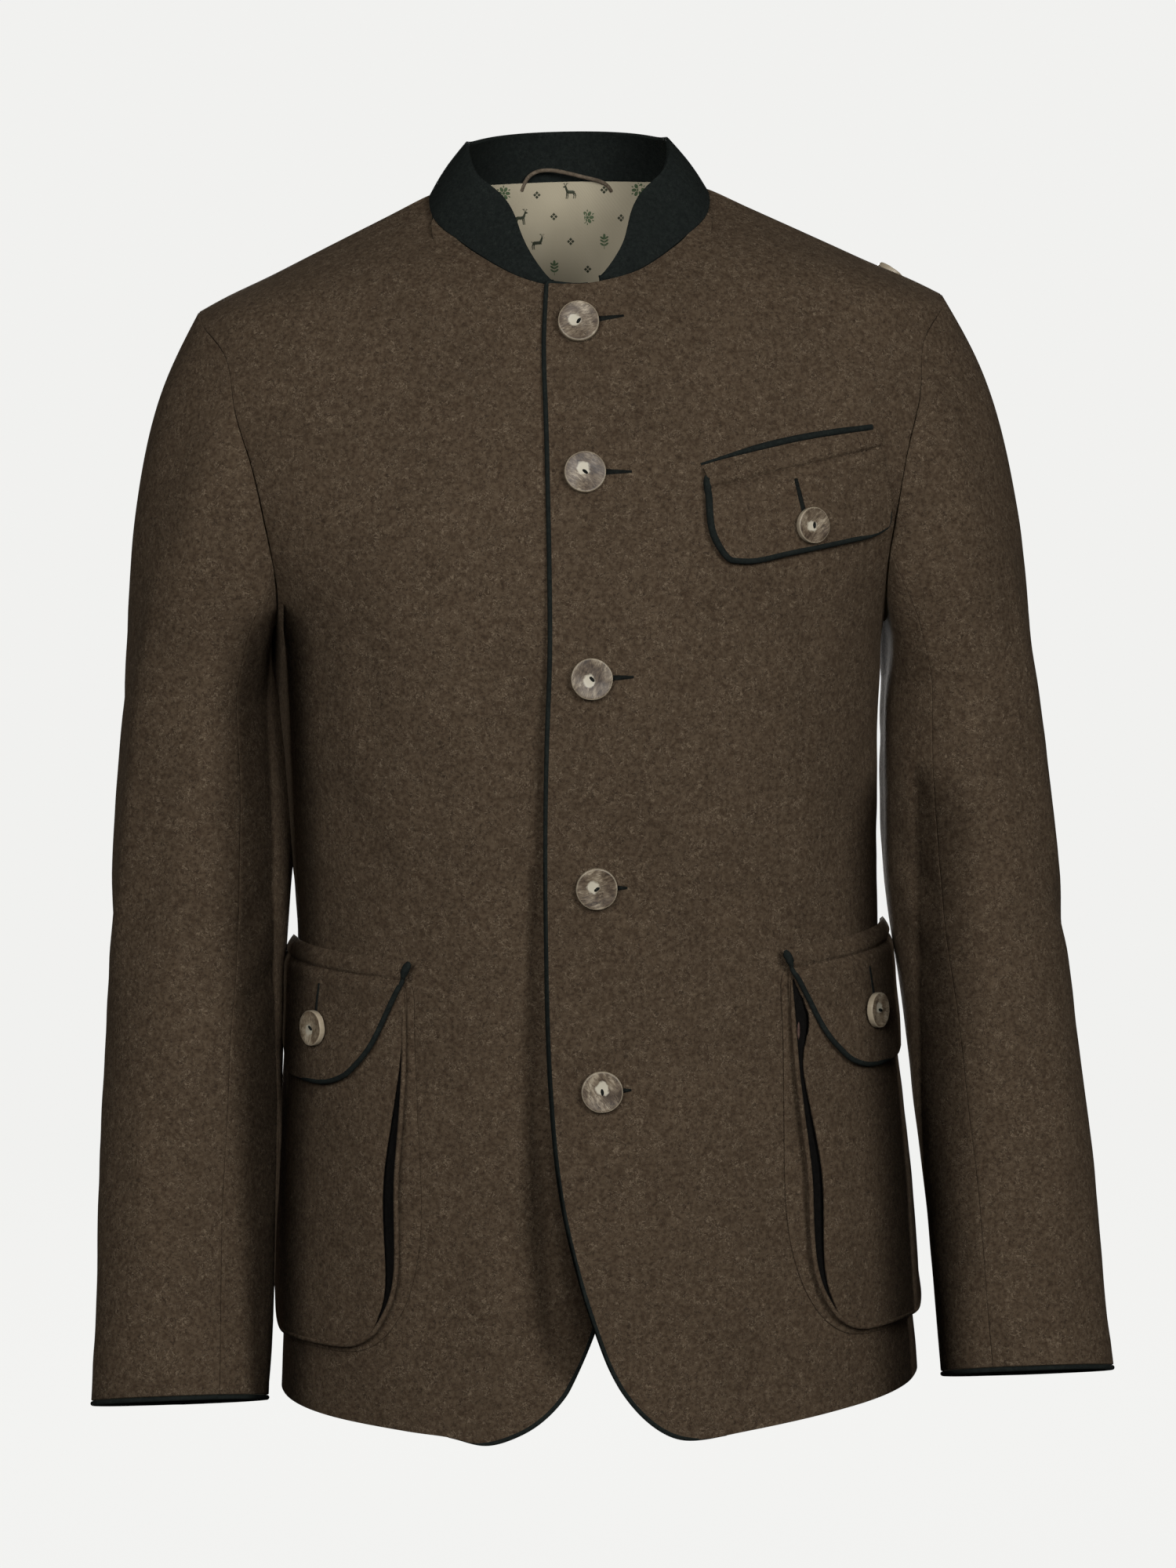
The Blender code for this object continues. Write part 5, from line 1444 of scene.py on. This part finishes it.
def buttonhole(touch, start, end, wide, narrow, spacing=0.00042):
    """Stitches across a slit between two flat places, from its wide end to its narrow one."""
    start, end = Vector(start), Vector(end)
    count = int((end - start).length / spacing)
    marks = []
    for step in range(count + 1):
        share = step / count
        place, facing = touch(*start.lerp(end, share))
        beside, _ = touch(*start.lerp(end, share + 0.02 if share < 1 else 0.98))
        along = beside - place if share < 1 else place - beside
        across = facing.cross(along).normalized()
        size = wide + (narrow - wide) * share ** 1.3
        tilt = along.normalized() * 0.10 * noise.noise(Vector((step * 0.9, 3.0, 1.0)))
        marks.append(Mark(place, across + tilt, facing, size, STITCH_WIDE, STITCH_HIGH))
    return marks


print("tools for buttonholes:", from_side.__name__, buttonhole.__name__)

# %% [markdown]
# Each hole starts beside its button. Its end is measured from the button's middle: how far
# across and how much higher. No two are alike, as they are cut and worked by hand.

# %% Buttonholes
HOLE_ENDS = {"front_button_1": (0.0265, 0.0028), "front_button_2": (0.0268, -0.0004),
             "front_button_3": (0.0240, 0.0004), "front_button_4": (0.0175, -0.0002),
             "front_button_5": (0.0168, 0.0002)}
HOLE_START = 0.006
HOLE_WIDE, HOLE_NARROW = 0.0050, 0.0018
BREAST_HOLE = ((0.1262, -0.1935), (0.1222, -0.1748), 0.0036, 0.0028)
# The turns are in hundreds of degrees here, so that they weigh about as much as the heights.
FLAP_HOLE = ((0.655, -0.4790), (0.648, -0.4625), 0.0030, 0.0018)
marks = []
for node, (end, rise) in HOLE_ENDS.items():
    centre, _ = buttons[node]
    marks += buttonhole(partial(from_front, front_skin),
                        (centre.x + HOLE_START, centre.z + rise * 0.2),
                        (centre.x + end, centre.z + rise), HOLE_WIDE, HOLE_NARROW)
breast_skin = surface_of(pockets["breast_flap"])
marks += buttonhole(partial(from_front, breast_skin), *BREAST_HOLE, spacing=0.00034)
flap_skins = {1: surface_of(pockets["flap_left"]), -1: surface_of(pockets["flap_right"])}
for side, skin in flap_skins.items():
    marks += buttonhole(lambda turn, height: from_side(skin, turn * side * 100, height),
                        *FLAP_HOLE)
sew("buttonholes", marks, thread, "green_cloth")

# %% [markdown]
# The stitching under each band is one run of stitches in the groove. Three short rows of
# tacks at the breast flap's ends hold it to the chest.

# %% Seams of the flaps
SEAM_STEPS = 40
SEAM_TURN, SEAM_TURNS = 44.0, 45.5
BREAST_SEAM_START, BREAST_SEAM_LENGTH = 0.0715, 0.100
SEAM_STITCH = {"length": 0.0021, "gap": 0.0006, "width": 0.00042, "sink": 0.0001}
TACK_STEPS = 8
TACK_STITCH = {"length": 0.0013, "gap": 0.0001, "width": 0.00045}
TACKS = ((0.0868, -0.1650, -0.1715), (0.1600, -0.1500, -0.1600), (0.1628, -0.1495, -0.1600))


def on_cloth(touches):
    """Only the places where a probe met the cloth."""
    return [(place, facing) for place, facing in touches if place]


marks = []
for side, skin in flap_skins.items():
    line = []
    for step in range(SEAM_STEPS + 1):
        turn = side * (SEAM_TURN + SEAM_TURNS * step / SEAM_STEPS)
        out = Vector((math.sin(math.radians(turn)), -math.cos(math.radians(turn)), 0))
        line.append(from_side(skin, turn, flap_band_line(out)))
    marks += run_of_stitches(on_cloth(line), **SEAM_STITCH)
line = []
for step in range(SEAM_STEPS + 1):
    across = BREAST_SEAM_START + BREAST_SEAM_LENGTH * step / SEAM_STEPS
    line.append(from_front(breast_skin, across, breast_band_line(Vector((across, 0, 0)))))
marks += run_of_stitches(on_cloth(line), **SEAM_STITCH)
for across, top, low in TACKS:
    line = [from_front(breast_skin, across + 0.0004 * step, top + (low - top) * step / TACK_STEPS)
            for step in range(TACK_STEPS + 1)]
    marks += run_of_stitches(on_cloth(line), **TACK_STITCH)
sew("flap_stitching", marks, brown_thread, "loden")

# %% [markdown]
# A short folded end of the tape that stays the pocket mouth shows under the lower edge of
# the left flap.

# %% Tape end
TAPE_ACROSS, TAPE_HEIGHT = 0.1160, -0.4950
TAPE_HANGS = Vector((-0.04, -0.05, -1))
tape_cloth = felt("stay_tape", dark=(0.075, 0.042, 0.034), light=(0.125, 0.076, 0.062),
                  pale_fibre=(0.20, 0.14, 0.12), dark_fibre=(0.03, 0.02, 0.016),
                  pale_share=0.3, grain=0.0001)
# The probe also meets the near-black strip of painted shade in the left pocket's fold.
mouth_skin = surface_of(trims["gusset_left"], trims["pocket_edge_left"], pockets["pocket_left"],
                        body["front_left"], trims["pocketing_left"])
place, facing = from_front(mouth_skin, TAPE_ACROSS, TAPE_HEIGHT)
tape = Mark(place + facing * 0.0003, TAPE_HANGS, facing, length=0.0115, width=0.0022, height=0.0012)
sew("tape_end", [tape], tape_cloth, "hanger_tape")

# %% [markdown]
# The thread of a button lies in two layers over the middle of its face, and a thicker winding
# under it holds the button off the cloth by the thickness of the layer that is buttoned.

# %% Thread of the buttons
FACE_LIFT = 0.00135
FACE_THREADS = ((0.0, 0.0046, 0.0021), (0.0004, 0.0038, 0.0012))
SHANK_DEPTH, SHANK_LENGTH, SHANK_WIDTH = 0.0028, 0.0030, 0.0042
marks = []
for node, (centre, facing) in buttons.items():
    centre = centre + body_move(centre)
    turn = math.radians(BUTTON_TURNS[node] * 1.7 + 20)
    tilt = facing.to_track_quat('Z', 'Y').to_matrix()
    along = tilt @ Vector((math.cos(turn), math.sin(turn), 0))
    face = centre + facing * FACE_LIFT
    for lift, length, width in FACE_THREADS:
        marks.append(Mark(face + facing * lift, along, facing, length, width, 0.0009))
    shank = centre - facing * SHANK_DEPTH
    marks.append(Mark(shank, facing, along, SHANK_LENGTH, SHANK_WIDTH, SHANK_WIDTH))
sew("button_thread", marks, thread, "horn")

# %% [markdown]
# ## Back of the lining
# The lining is a light satin sewn in under the collar. It has a pleat at the centre of the
# back, so that it doesn't pull when the arms move, and it falls in soft uneven waves.

# %% Lining
LINING_CREASES = [
    Crease(178.5, 0.010, 178.0, -0.180, 0.0032, -0.0030),
    Crease(176.6, 0.010, 175.8, -0.190, 0.0030, 0.0022),
    Crease(170.0, -0.010, 163.0, -0.120, 0.0080, -0.0022),
    Crease(-171.0, -0.004, -166.0, -0.100, 0.0090, -0.0020),
    Crease(-176.0, -0.030, -174.0, -0.140, 0.0060, 0.0018),
    Crease(150.0, -0.060, 158.0, -0.300, 0.0140, -0.0030),
    Crease(-148.0, -0.080, -156.0, -0.320, 0.0150, -0.0028),
    Crease(165.0, -0.350, 172.0, -0.640, 0.0160, -0.0030),
    Crease(-160.0, -0.330, -168.0, -0.620, 0.0160, -0.0028),
]
SATIN_CLOTH = 0.0005
NECK_HEIGHT = 0.036
NECK_HALF, NECK_FADE = 0.074, 0.016
LINING_RISE = 0.0085
# How far inside the loden it hangs, how much more at the neck, and its highest fold.
LINING_INSIDE, LINING_NECK_INSIDE, LINING_FOLD = 0.0012, 0.0034, 0.0014
LINING_SEED = 23.0


def lining_move(point):
    """Up to the collar's seam at the neck, and the folds of the satin."""
    rising = smooth_step((point.z + NECK_HEIGHT) / NECK_HEIGHT)
    near_neck = rising * smooth_step((NECK_HALF - abs(point.x)) / NECK_FADE)
    folds = crease_move(LINING_CREASES, turn_of(point), point.z, BODY_RADIUS, LINING_SEED)
    outwards = -LINING_INSIDE - LINING_NECK_INSIDE * near_neck + min(folds, LINING_FOLD)
    return outward_at(point) * outwards + Vector((0, 0, LINING_RISE * near_neck))


lining = outer_sheet("lining_back", "lining_back_cloth")
lining.data.materials.append(lining_satin)
smooth_through(lining, PANEL_LEVELS)
drape(lining, lining_move)
thicken(lining, SATIN_CLOTH, 0.0)
finish_piece(lining, "lining_back", slot="lining")
print("lining", len(lining.data.polygons), "faces")

# %% [markdown]
# ## Print of the lining
# Small hunting-cloth motifs: a standing stag, a sprig, a flower and a group of four lozenges.
# Each one is drawn once as flat patches in millimetres, then laid on the satin in rows.

# %% Patches of the motifs
def ellipse(x, y, half_width, half_height, turn=0.0, count=10):
    points = []
    for step in range(count):
        angle = 2 * math.pi * step / count
        across = half_width * math.cos(angle)
        upward = half_height * math.sin(angle)
        points.append((x + across * math.cos(turn) - upward * math.sin(turn),
                       y + across * math.sin(turn) + upward * math.cos(turn)))
    return points


def lozenge(x, y, half):
    return [(x - half, y), (x, y - half), (x + half, y), (x, y + half)]


def petals(reach, half_width, half_height, offset):
    """Six ellipses round the middle, each pointing outwards."""
    angles = [(step + offset) * math.pi / 3 for step in range(6)]
    return [ellipse(reach * math.cos(angle), reach * math.sin(angle), half_width, half_height, angle)
            for angle in angles]


print("an ellipse has", len(ellipse(0, 0, 1, 1)), "points")

# %% [markdown]
# The stag is drawn as one patch each for body, neck, head, legs and tail, and four for its
# antlers. The other motifs are built of ellipses and lozenges.

# %% Motifs
STAG = [
    [(-3.1, -0.2), (-2.2, -0.6), (1.5, -0.4), (2.5, 0.6), (2.2, 1.9), (0.7, 1.4), (-2.2, 1.3), (-3.2, 0.7)],
    [(1.3, 1.3), (2.7, 0.9), (3.2, 3.3), (2.3, 3.6)],
    [(2.2, 3.3), (3.2, 3.0), (4.5, 3.2), (4.4, 3.6), (3.3, 4.3), (2.5, 4.2)],
    [(0.9, 0.0), (1.5, -3.6), (1.9, -3.6), (1.6, 0.0)],
    [(1.7, 0.3), (2.4, -3.5), (2.8, -3.5), (2.4, 0.6)],
    [(-3.0, 0.2), (-3.6, -1.7), (-3.1, -3.6), (-2.7, -3.6), (-3.1, -1.7), (-2.0, 0.0)],
    [(-2.2, 0.0), (-2.5, -1.8), (-2.0, -3.6), (-1.6, -3.6), (-2.0, -1.8), (-1.3, 0.0)],
    [(2.5, 4.1), (1.9, 5.9), (2.2, 5.9), (2.8, 4.2)],
    [(2.3, 4.9), (1.1, 5.5), (1.2, 5.8), (2.3, 5.2)],
    [(2.9, 4.2), (3.5, 5.9), (3.8, 5.8), (3.2, 4.2)],
    [(3.2, 4.8), (4.3, 5.3), (4.3, 5.6), (3.2, 5.1)],
    [(-3.1, 0.9), (-3.9, 1.6), (-3.7, 0.5)],
]
SPRIG = [[(-0.15, -4.2), (0.15, -4.2), (0.12, 3.0), (-0.12, 3.0)], ellipse(0, 3.6, 0.8, 1.4)]
for height in (-2.0, 0.0, 1.8):
    SPRIG.append(ellipse(1.3, height + 0.7, 1.5, 0.6, 0.6))
    SPRIG.append(ellipse(-1.3, height + 0.7, 1.5, 0.6, -0.6))
FLOWER = petals(2.5, 1.5, 1.0, 0.0) + [ellipse(0, 0, 0.9, 0.9)] + petals(4.0, 0.7, 0.35, 0.5)
LOZENGES = [lozenge(0, 1.3, 1.0), lozenge(0, -1.3, 1.0), lozenge(1.3, 0, 1.0), lozenge(-1.3, 0, 1.0)]
print("motifs", len(STAG), len(SPRIG), len(FLOWER), len(LOZENGES))

# %% [markdown]
# The patches are laid on the finished lining and not painted, so they follow its folds. A ray
# from inside the jacket finds the satin under each point, and a patch that leaves the satin is
# left out. One piece holds all the patches of one ink.

# %% Ink and printing
PRINT_LIFT = 0.00012
MILLIMETRE = 0.001


def ink(name, dark, light):
    made = new_material(name, roughness=0.55, specular=0.25)
    place = own_place(made)
    worn = ramp(made, cloud(made, place, 900.0, detail=2.0), [(0.35, dark), (0.70, light)])
    paint(made, worn)
    return made


def print_motifs(name, skin, spots, material):
    """Patches laid on the inner side of the lining; each point goes down to the cloth."""
    points, faces = [], []
    for motif, across, height, flip in spots:
        for patch in motif:
            shift = len(points)
            for x, y in patch:
                start = Vector((across + flip * x * MILLIMETRE, -0.02, height + y * MILLIMETRE))
                place, _, _, _ = skin.ray_cast(start, Vector((0, 1, 0)))
                if place is None:
                    break
                points.append(place + Vector((0, -PRINT_LIFT, 0)))
            if len(points) - shift == len(patch):
                faces.append(tuple(range(shift, len(points))))
            else:
                del points[shift:]
    finish_piece(mesh_piece(name, points, faces, material), slot="lining")
    print(name, len(faces), "patches")


dark_ink = ink("print_dark", (0.030, 0.036, 0.022), (0.070, 0.078, 0.050))
green_ink = ink("print_green", (0.070, 0.115, 0.055), (0.150, 0.200, 0.110))
print("inks", dark_ink.name, green_ink.name)

# %% [markdown]
# Every second row is shifted by half a step, and the four motifs take turns along a row and
# from row to row, some of them mirrored, so the eye finds no columns.

# %% Rows of the print
PRINT_ROWS, ROW_STEP, PRINT_TOP = 46, 0.0150, 0.0035
COLUMN_STEP, PRINT_ASIDE = 0.0205, 0.004
dark_spots, green_spots = [], []
for row in range(PRINT_ROWS):
    height = PRINT_TOP - ROW_STEP * row
    for column in range(-9, 10):
        across = (column + (0.5 if row % 2 else 0.0)) * COLUMN_STEP + PRINT_ASIDE
        kind = (column + 2 * row + row // 2) % 4
        flip = 1 if (column + row) % 3 else -1
        if kind == 0:
            dark_spots.append((STAG, across, height, flip))
        elif kind == 1:
            dark_spots.append((LOZENGES, across, height + 0.001, 1))
        elif kind == 2:
            green_spots.append((FLOWER if row % 4 < 2 else SPRIG, across, height, flip))
        else:
            dark_spots.append((LOZENGES, across, height - 0.001, 1))
lining_skin = surface_of(lining)
print_motifs("lining_print_dark", lining_skin, dark_spots, dark_ink)
print_motifs("lining_print_green", lining_skin, green_spots, green_ink)

# %% [markdown]
# ## What is cord and what is sheet
# The hanger loop is a cord. Here it gets its cloth and goes with the jacket's one body.

hanger.data.materials.append(cord_cloth)
finish_piece(hanger, "hanger_loop", slot="hanger_tape")

# %% [markdown]
# Every loden panel, the collar and the lining were cut flat. Each sheet gets the width and
# length of its cut, with the pieces that it lies on.

Cut = namedtuple("Cut", "piece width length area rests_on")
# Cut sizes of the near-black strips of painted shade in the pockets' open folds.
PAINTED_SHADE_CUT = {"left": (0.020, 0.196, 0.0033), "right": (0.016, 0.182, 0.0026)}
CUTS = [
    Cut(body["front_left"], 0.330, 0.730, 0.191, ["collar_band", "back_left_cloth"]),
    Cut(body["front_right"], 0.320, 0.730, 0.186, ["collar_band", "back_right_cloth"]),
    Cut(body["back_left"], 0.250, 0.715, 0.164, ["collar_band", "back_right_cloth"]),
    Cut(body["back_right"], 0.250, 0.715, 0.164, ["collar_band", "back_left_cloth"]),
    Cut(collar, 0.042, 0.430, 0.0178, ["front_left_cloth", "front_right_cloth"]),
    Cut(lining, 0.520, 0.700, 0.308, ["collar_band"]),
    Cut(pockets["breast_flap"], 0.118, 0.064, 0.0073, ["front_left_cloth"]),
]
for side, word in SIDES:
    front = "front_" + word + "_cloth"
    CUTS += [
        Cut(sleeves["top_sleeve_" + word], 0.235, 0.645, 0.133, [front]),
        Cut(sleeves["under_sleeve_" + word], 0.130, 0.555, 0.065, [front]),
        Cut(pockets["pocket_" + word], 0.150, 0.215, 0.0293, [front]),
        Cut(pockets["flap_" + word], 0.125, 0.085, 0.0085, [front]),
        Cut(trims["gusset_" + word], 0.026, 0.520, 0.0130, [front]),
        Cut(trims["pocketing_" + word], *PAINTED_SHADE_CUT[word], [front]),
    ]
for cut in CUTS:
    print(cut.piece.name, "cut", cut.area, "m2, now", round(area_of(cut.piece) / 2, 4))

# %% [markdown]
# ## Stage and light
# A plain pale room. The floor and the wall are one sheet with a wide bend, so no line is seen
# behind the jacket. The sheet glows evenly and takes almost no light from the lamps, so it is
# equally pale all over, and it throws no light back on the cloth.

# %% Stage
FLOOR_SIZE = (12, 9, 1)
FLOOR_PLACE = (0, -1.5, -1.05)
WALL_HEIGHT = 7
BEND_WIDTH = 1.5
pale = bpy.data.materials.new("stage_white")
pale.use_nodes = True
pale_finish = finish_of(pale)
pale_finish.inputs["Base Color"].default_value = (0.01, 0.01, 0.01, 1)
pale_finish.inputs["Specular IOR Level"].default_value = 0.0
pale_finish.inputs["Roughness"].default_value = 1.0
pale_finish.inputs["Emission Color"].default_value = (0.89, 0.89, 0.875, 1)
pale_finish.inputs["Emission Strength"].default_value = 0.985
bpy.ops.mesh.primitive_plane_add(size=1, location=(0, 0, 0))
floor = bpy.context.object
floor.name = "floor"
activate(floor, 'EDIT')
bpy.ops.transform.resize(value=FLOOR_SIZE)
bpy.ops.transform.translate(value=FLOOR_PLACE)
bpy.ops.mesh.select_mode(type='EDGE')
bpy.ops.object.mode_set(mode='OBJECT')
for side_edge in floor.data.edges:
    side_edge.select = all(floor.data.vertices[i].co.y > 2 for i in side_edge.vertices)
bpy.ops.object.mode_set(mode='EDIT')
bpy.ops.mesh.extrude_region_move(TRANSFORM_OT_translate={"value": (0, 0, WALL_HEIGHT)})
bpy.ops.object.mode_set(mode='OBJECT')
bend = floor.modifiers.new("Bend", 'BEVEL')
bend.width = BEND_WIDTH
bend.segments = 12
bend.limit_method = 'ANGLE'
bpy.ops.object.modifier_apply(modifier="Bend")
bpy.ops.object.shade_smooth()
floor.data.materials.append(pale)
floor.visible_diffuse = False
floor.visible_glossy = False
print("floor and wall", len(floor.data.polygons), "faces")

# %% [markdown]
# Two narrow black cards hang in front of the gaps between the sleeves and the body, edge on to
# the camera. They keep each lamp off the inner side of the sleeve that is opposite to it, so
# the gaps stay as dark as between thick sleeves and a body.

# %% Cards
black = bpy.data.materials.new("card_black")
black.use_nodes = True
finish_of(black).inputs["Base Color"].default_value = (0.01, 0.01, 0.01, 1)
GapCard = namedtuple("GapCard", "name across lean front rear low high")
GAP_CARDS = (GapCard("card_right", -0.188, 0.044, -0.120, -0.046, -0.78, -0.24),
             GapCard("card_left", 0.190, 0.0, -0.150, -0.060, -0.78, -0.34))


def hide_card(card):
    """A card only shades: the camera doesn't see it, and it is no part of the jacket."""
    card.data.materials.append(black)
    card.visible_camera = False


for wanted in GAP_CARDS:
    middle = (wanted.low + wanted.high) / 2
    bpy.ops.mesh.primitive_plane_add(size=1)
    card = bpy.context.object
    card.name = wanted.name
    activate(card, 'EDIT')
    bpy.ops.transform.rotate(value=math.radians(90), orient_axis='Y', center_override=(0, 0, 0))
    bpy.ops.transform.resize(value=(1, wanted.rear - wanted.front, wanted.high - wanted.low))
    bpy.ops.transform.translate(value=(wanted.across, (wanted.front + wanted.rear) / 2, middle))
    bpy.ops.object.mode_set(mode='OBJECT')
    for corner in card.data.vertices:
        corner.co.x += wanted.lean * (corner.co.z - middle)
    hide_card(card)
    print(wanted.name, round(wanted.rear - wanted.front, 3), "m deep")

# %% [markdown]
# A third card stands on the edge of the over front and leans out over the under front, a
# little wider towards the hem. Its soft shadow falls where the under front drops back.

# %% Card of the opening
LEAN_ASIDE, LEAN_FORWARDS = 0.407, 0.914
OpeningRow = namedtuple("OpeningRow", "height across front deep")
OPENING_ROWS = [
    OpeningRow(-0.390, -0.0300, -0.1330, 0.0040), OpeningRow(-0.464, -0.0302, -0.1325, 0.0070),
    OpeningRow(-0.554, -0.0281, -0.1352, 0.0145), OpeningRow(-0.598, -0.0231, -0.1371, 0.0265),
    OpeningRow(-0.643, -0.0137, -0.1388, 0.0325), OpeningRow(-0.673, -0.0043, -0.1392, 0.0300),
    OpeningRow(-0.700, 0.0060, -0.1396, 0.0120),
]
bpy.ops.mesh.primitive_grid_add(x_subdivisions=1, y_subdivisions=len(OPENING_ROWS) - 1, size=1)
card = bpy.context.object
card.name = "card_opening"
ends = list(card.data.vertices)
for row, foot, tip in zip(OPENING_ROWS, ends[0::2], ends[1::2]):
    foot.co = (row.across, row.front, row.height)
    tip.co = (row.across - LEAN_ASIDE * row.deep, row.front - LEAN_FORWARDS * row.deep, row.height)
hide_card(card)
print("card_opening", len(card.data.polygons), "faces")

# %% [markdown]
# Two large soft lamps stand in front and above, one to each side, so that the sides of the
# body and the inner sides of the sleeves fall into shadow. A third one stands behind the
# jacket and lights its back. The room itself adds very little light.

# %% Lamps
LAMP_AIM = (0, 0, -0.35)
ROOM_LIGHT = 0.05


def soft_lamp(name, place, size, power):
    bpy.ops.object.light_add(type='AREA', location=place)
    lamp = bpy.context.object
    lamp.name = name
    lamp.data.shape = 'DISK'
    lamp.data.size = size
    lamp.data.energy = power
    lamp.rotation_mode = 'QUATERNION'
    lamp.rotation_quaternion = (Vector(place) - Vector(LAMP_AIM)).to_track_quat('Z', 'Y')
    print(name, "lamp", power, "W")


soft_lamp("key", (1.20, -2.75, 0.55), 1.2, 44)
soft_lamp("fill", (-0.85, -2.88, 0.55), 1.3, 41)
soft_lamp("rear", (0.0, 2.00, 0.05), 1.0, 62)
world = bpy.data.worlds.new("room")
world.use_nodes = True
world.node_tree.nodes["Background"].inputs["Color"].default_value = (1, 1, 1, 1)
world.node_tree.nodes["Background"].inputs["Strength"].default_value = ROOM_LIGHT
scene.world = world
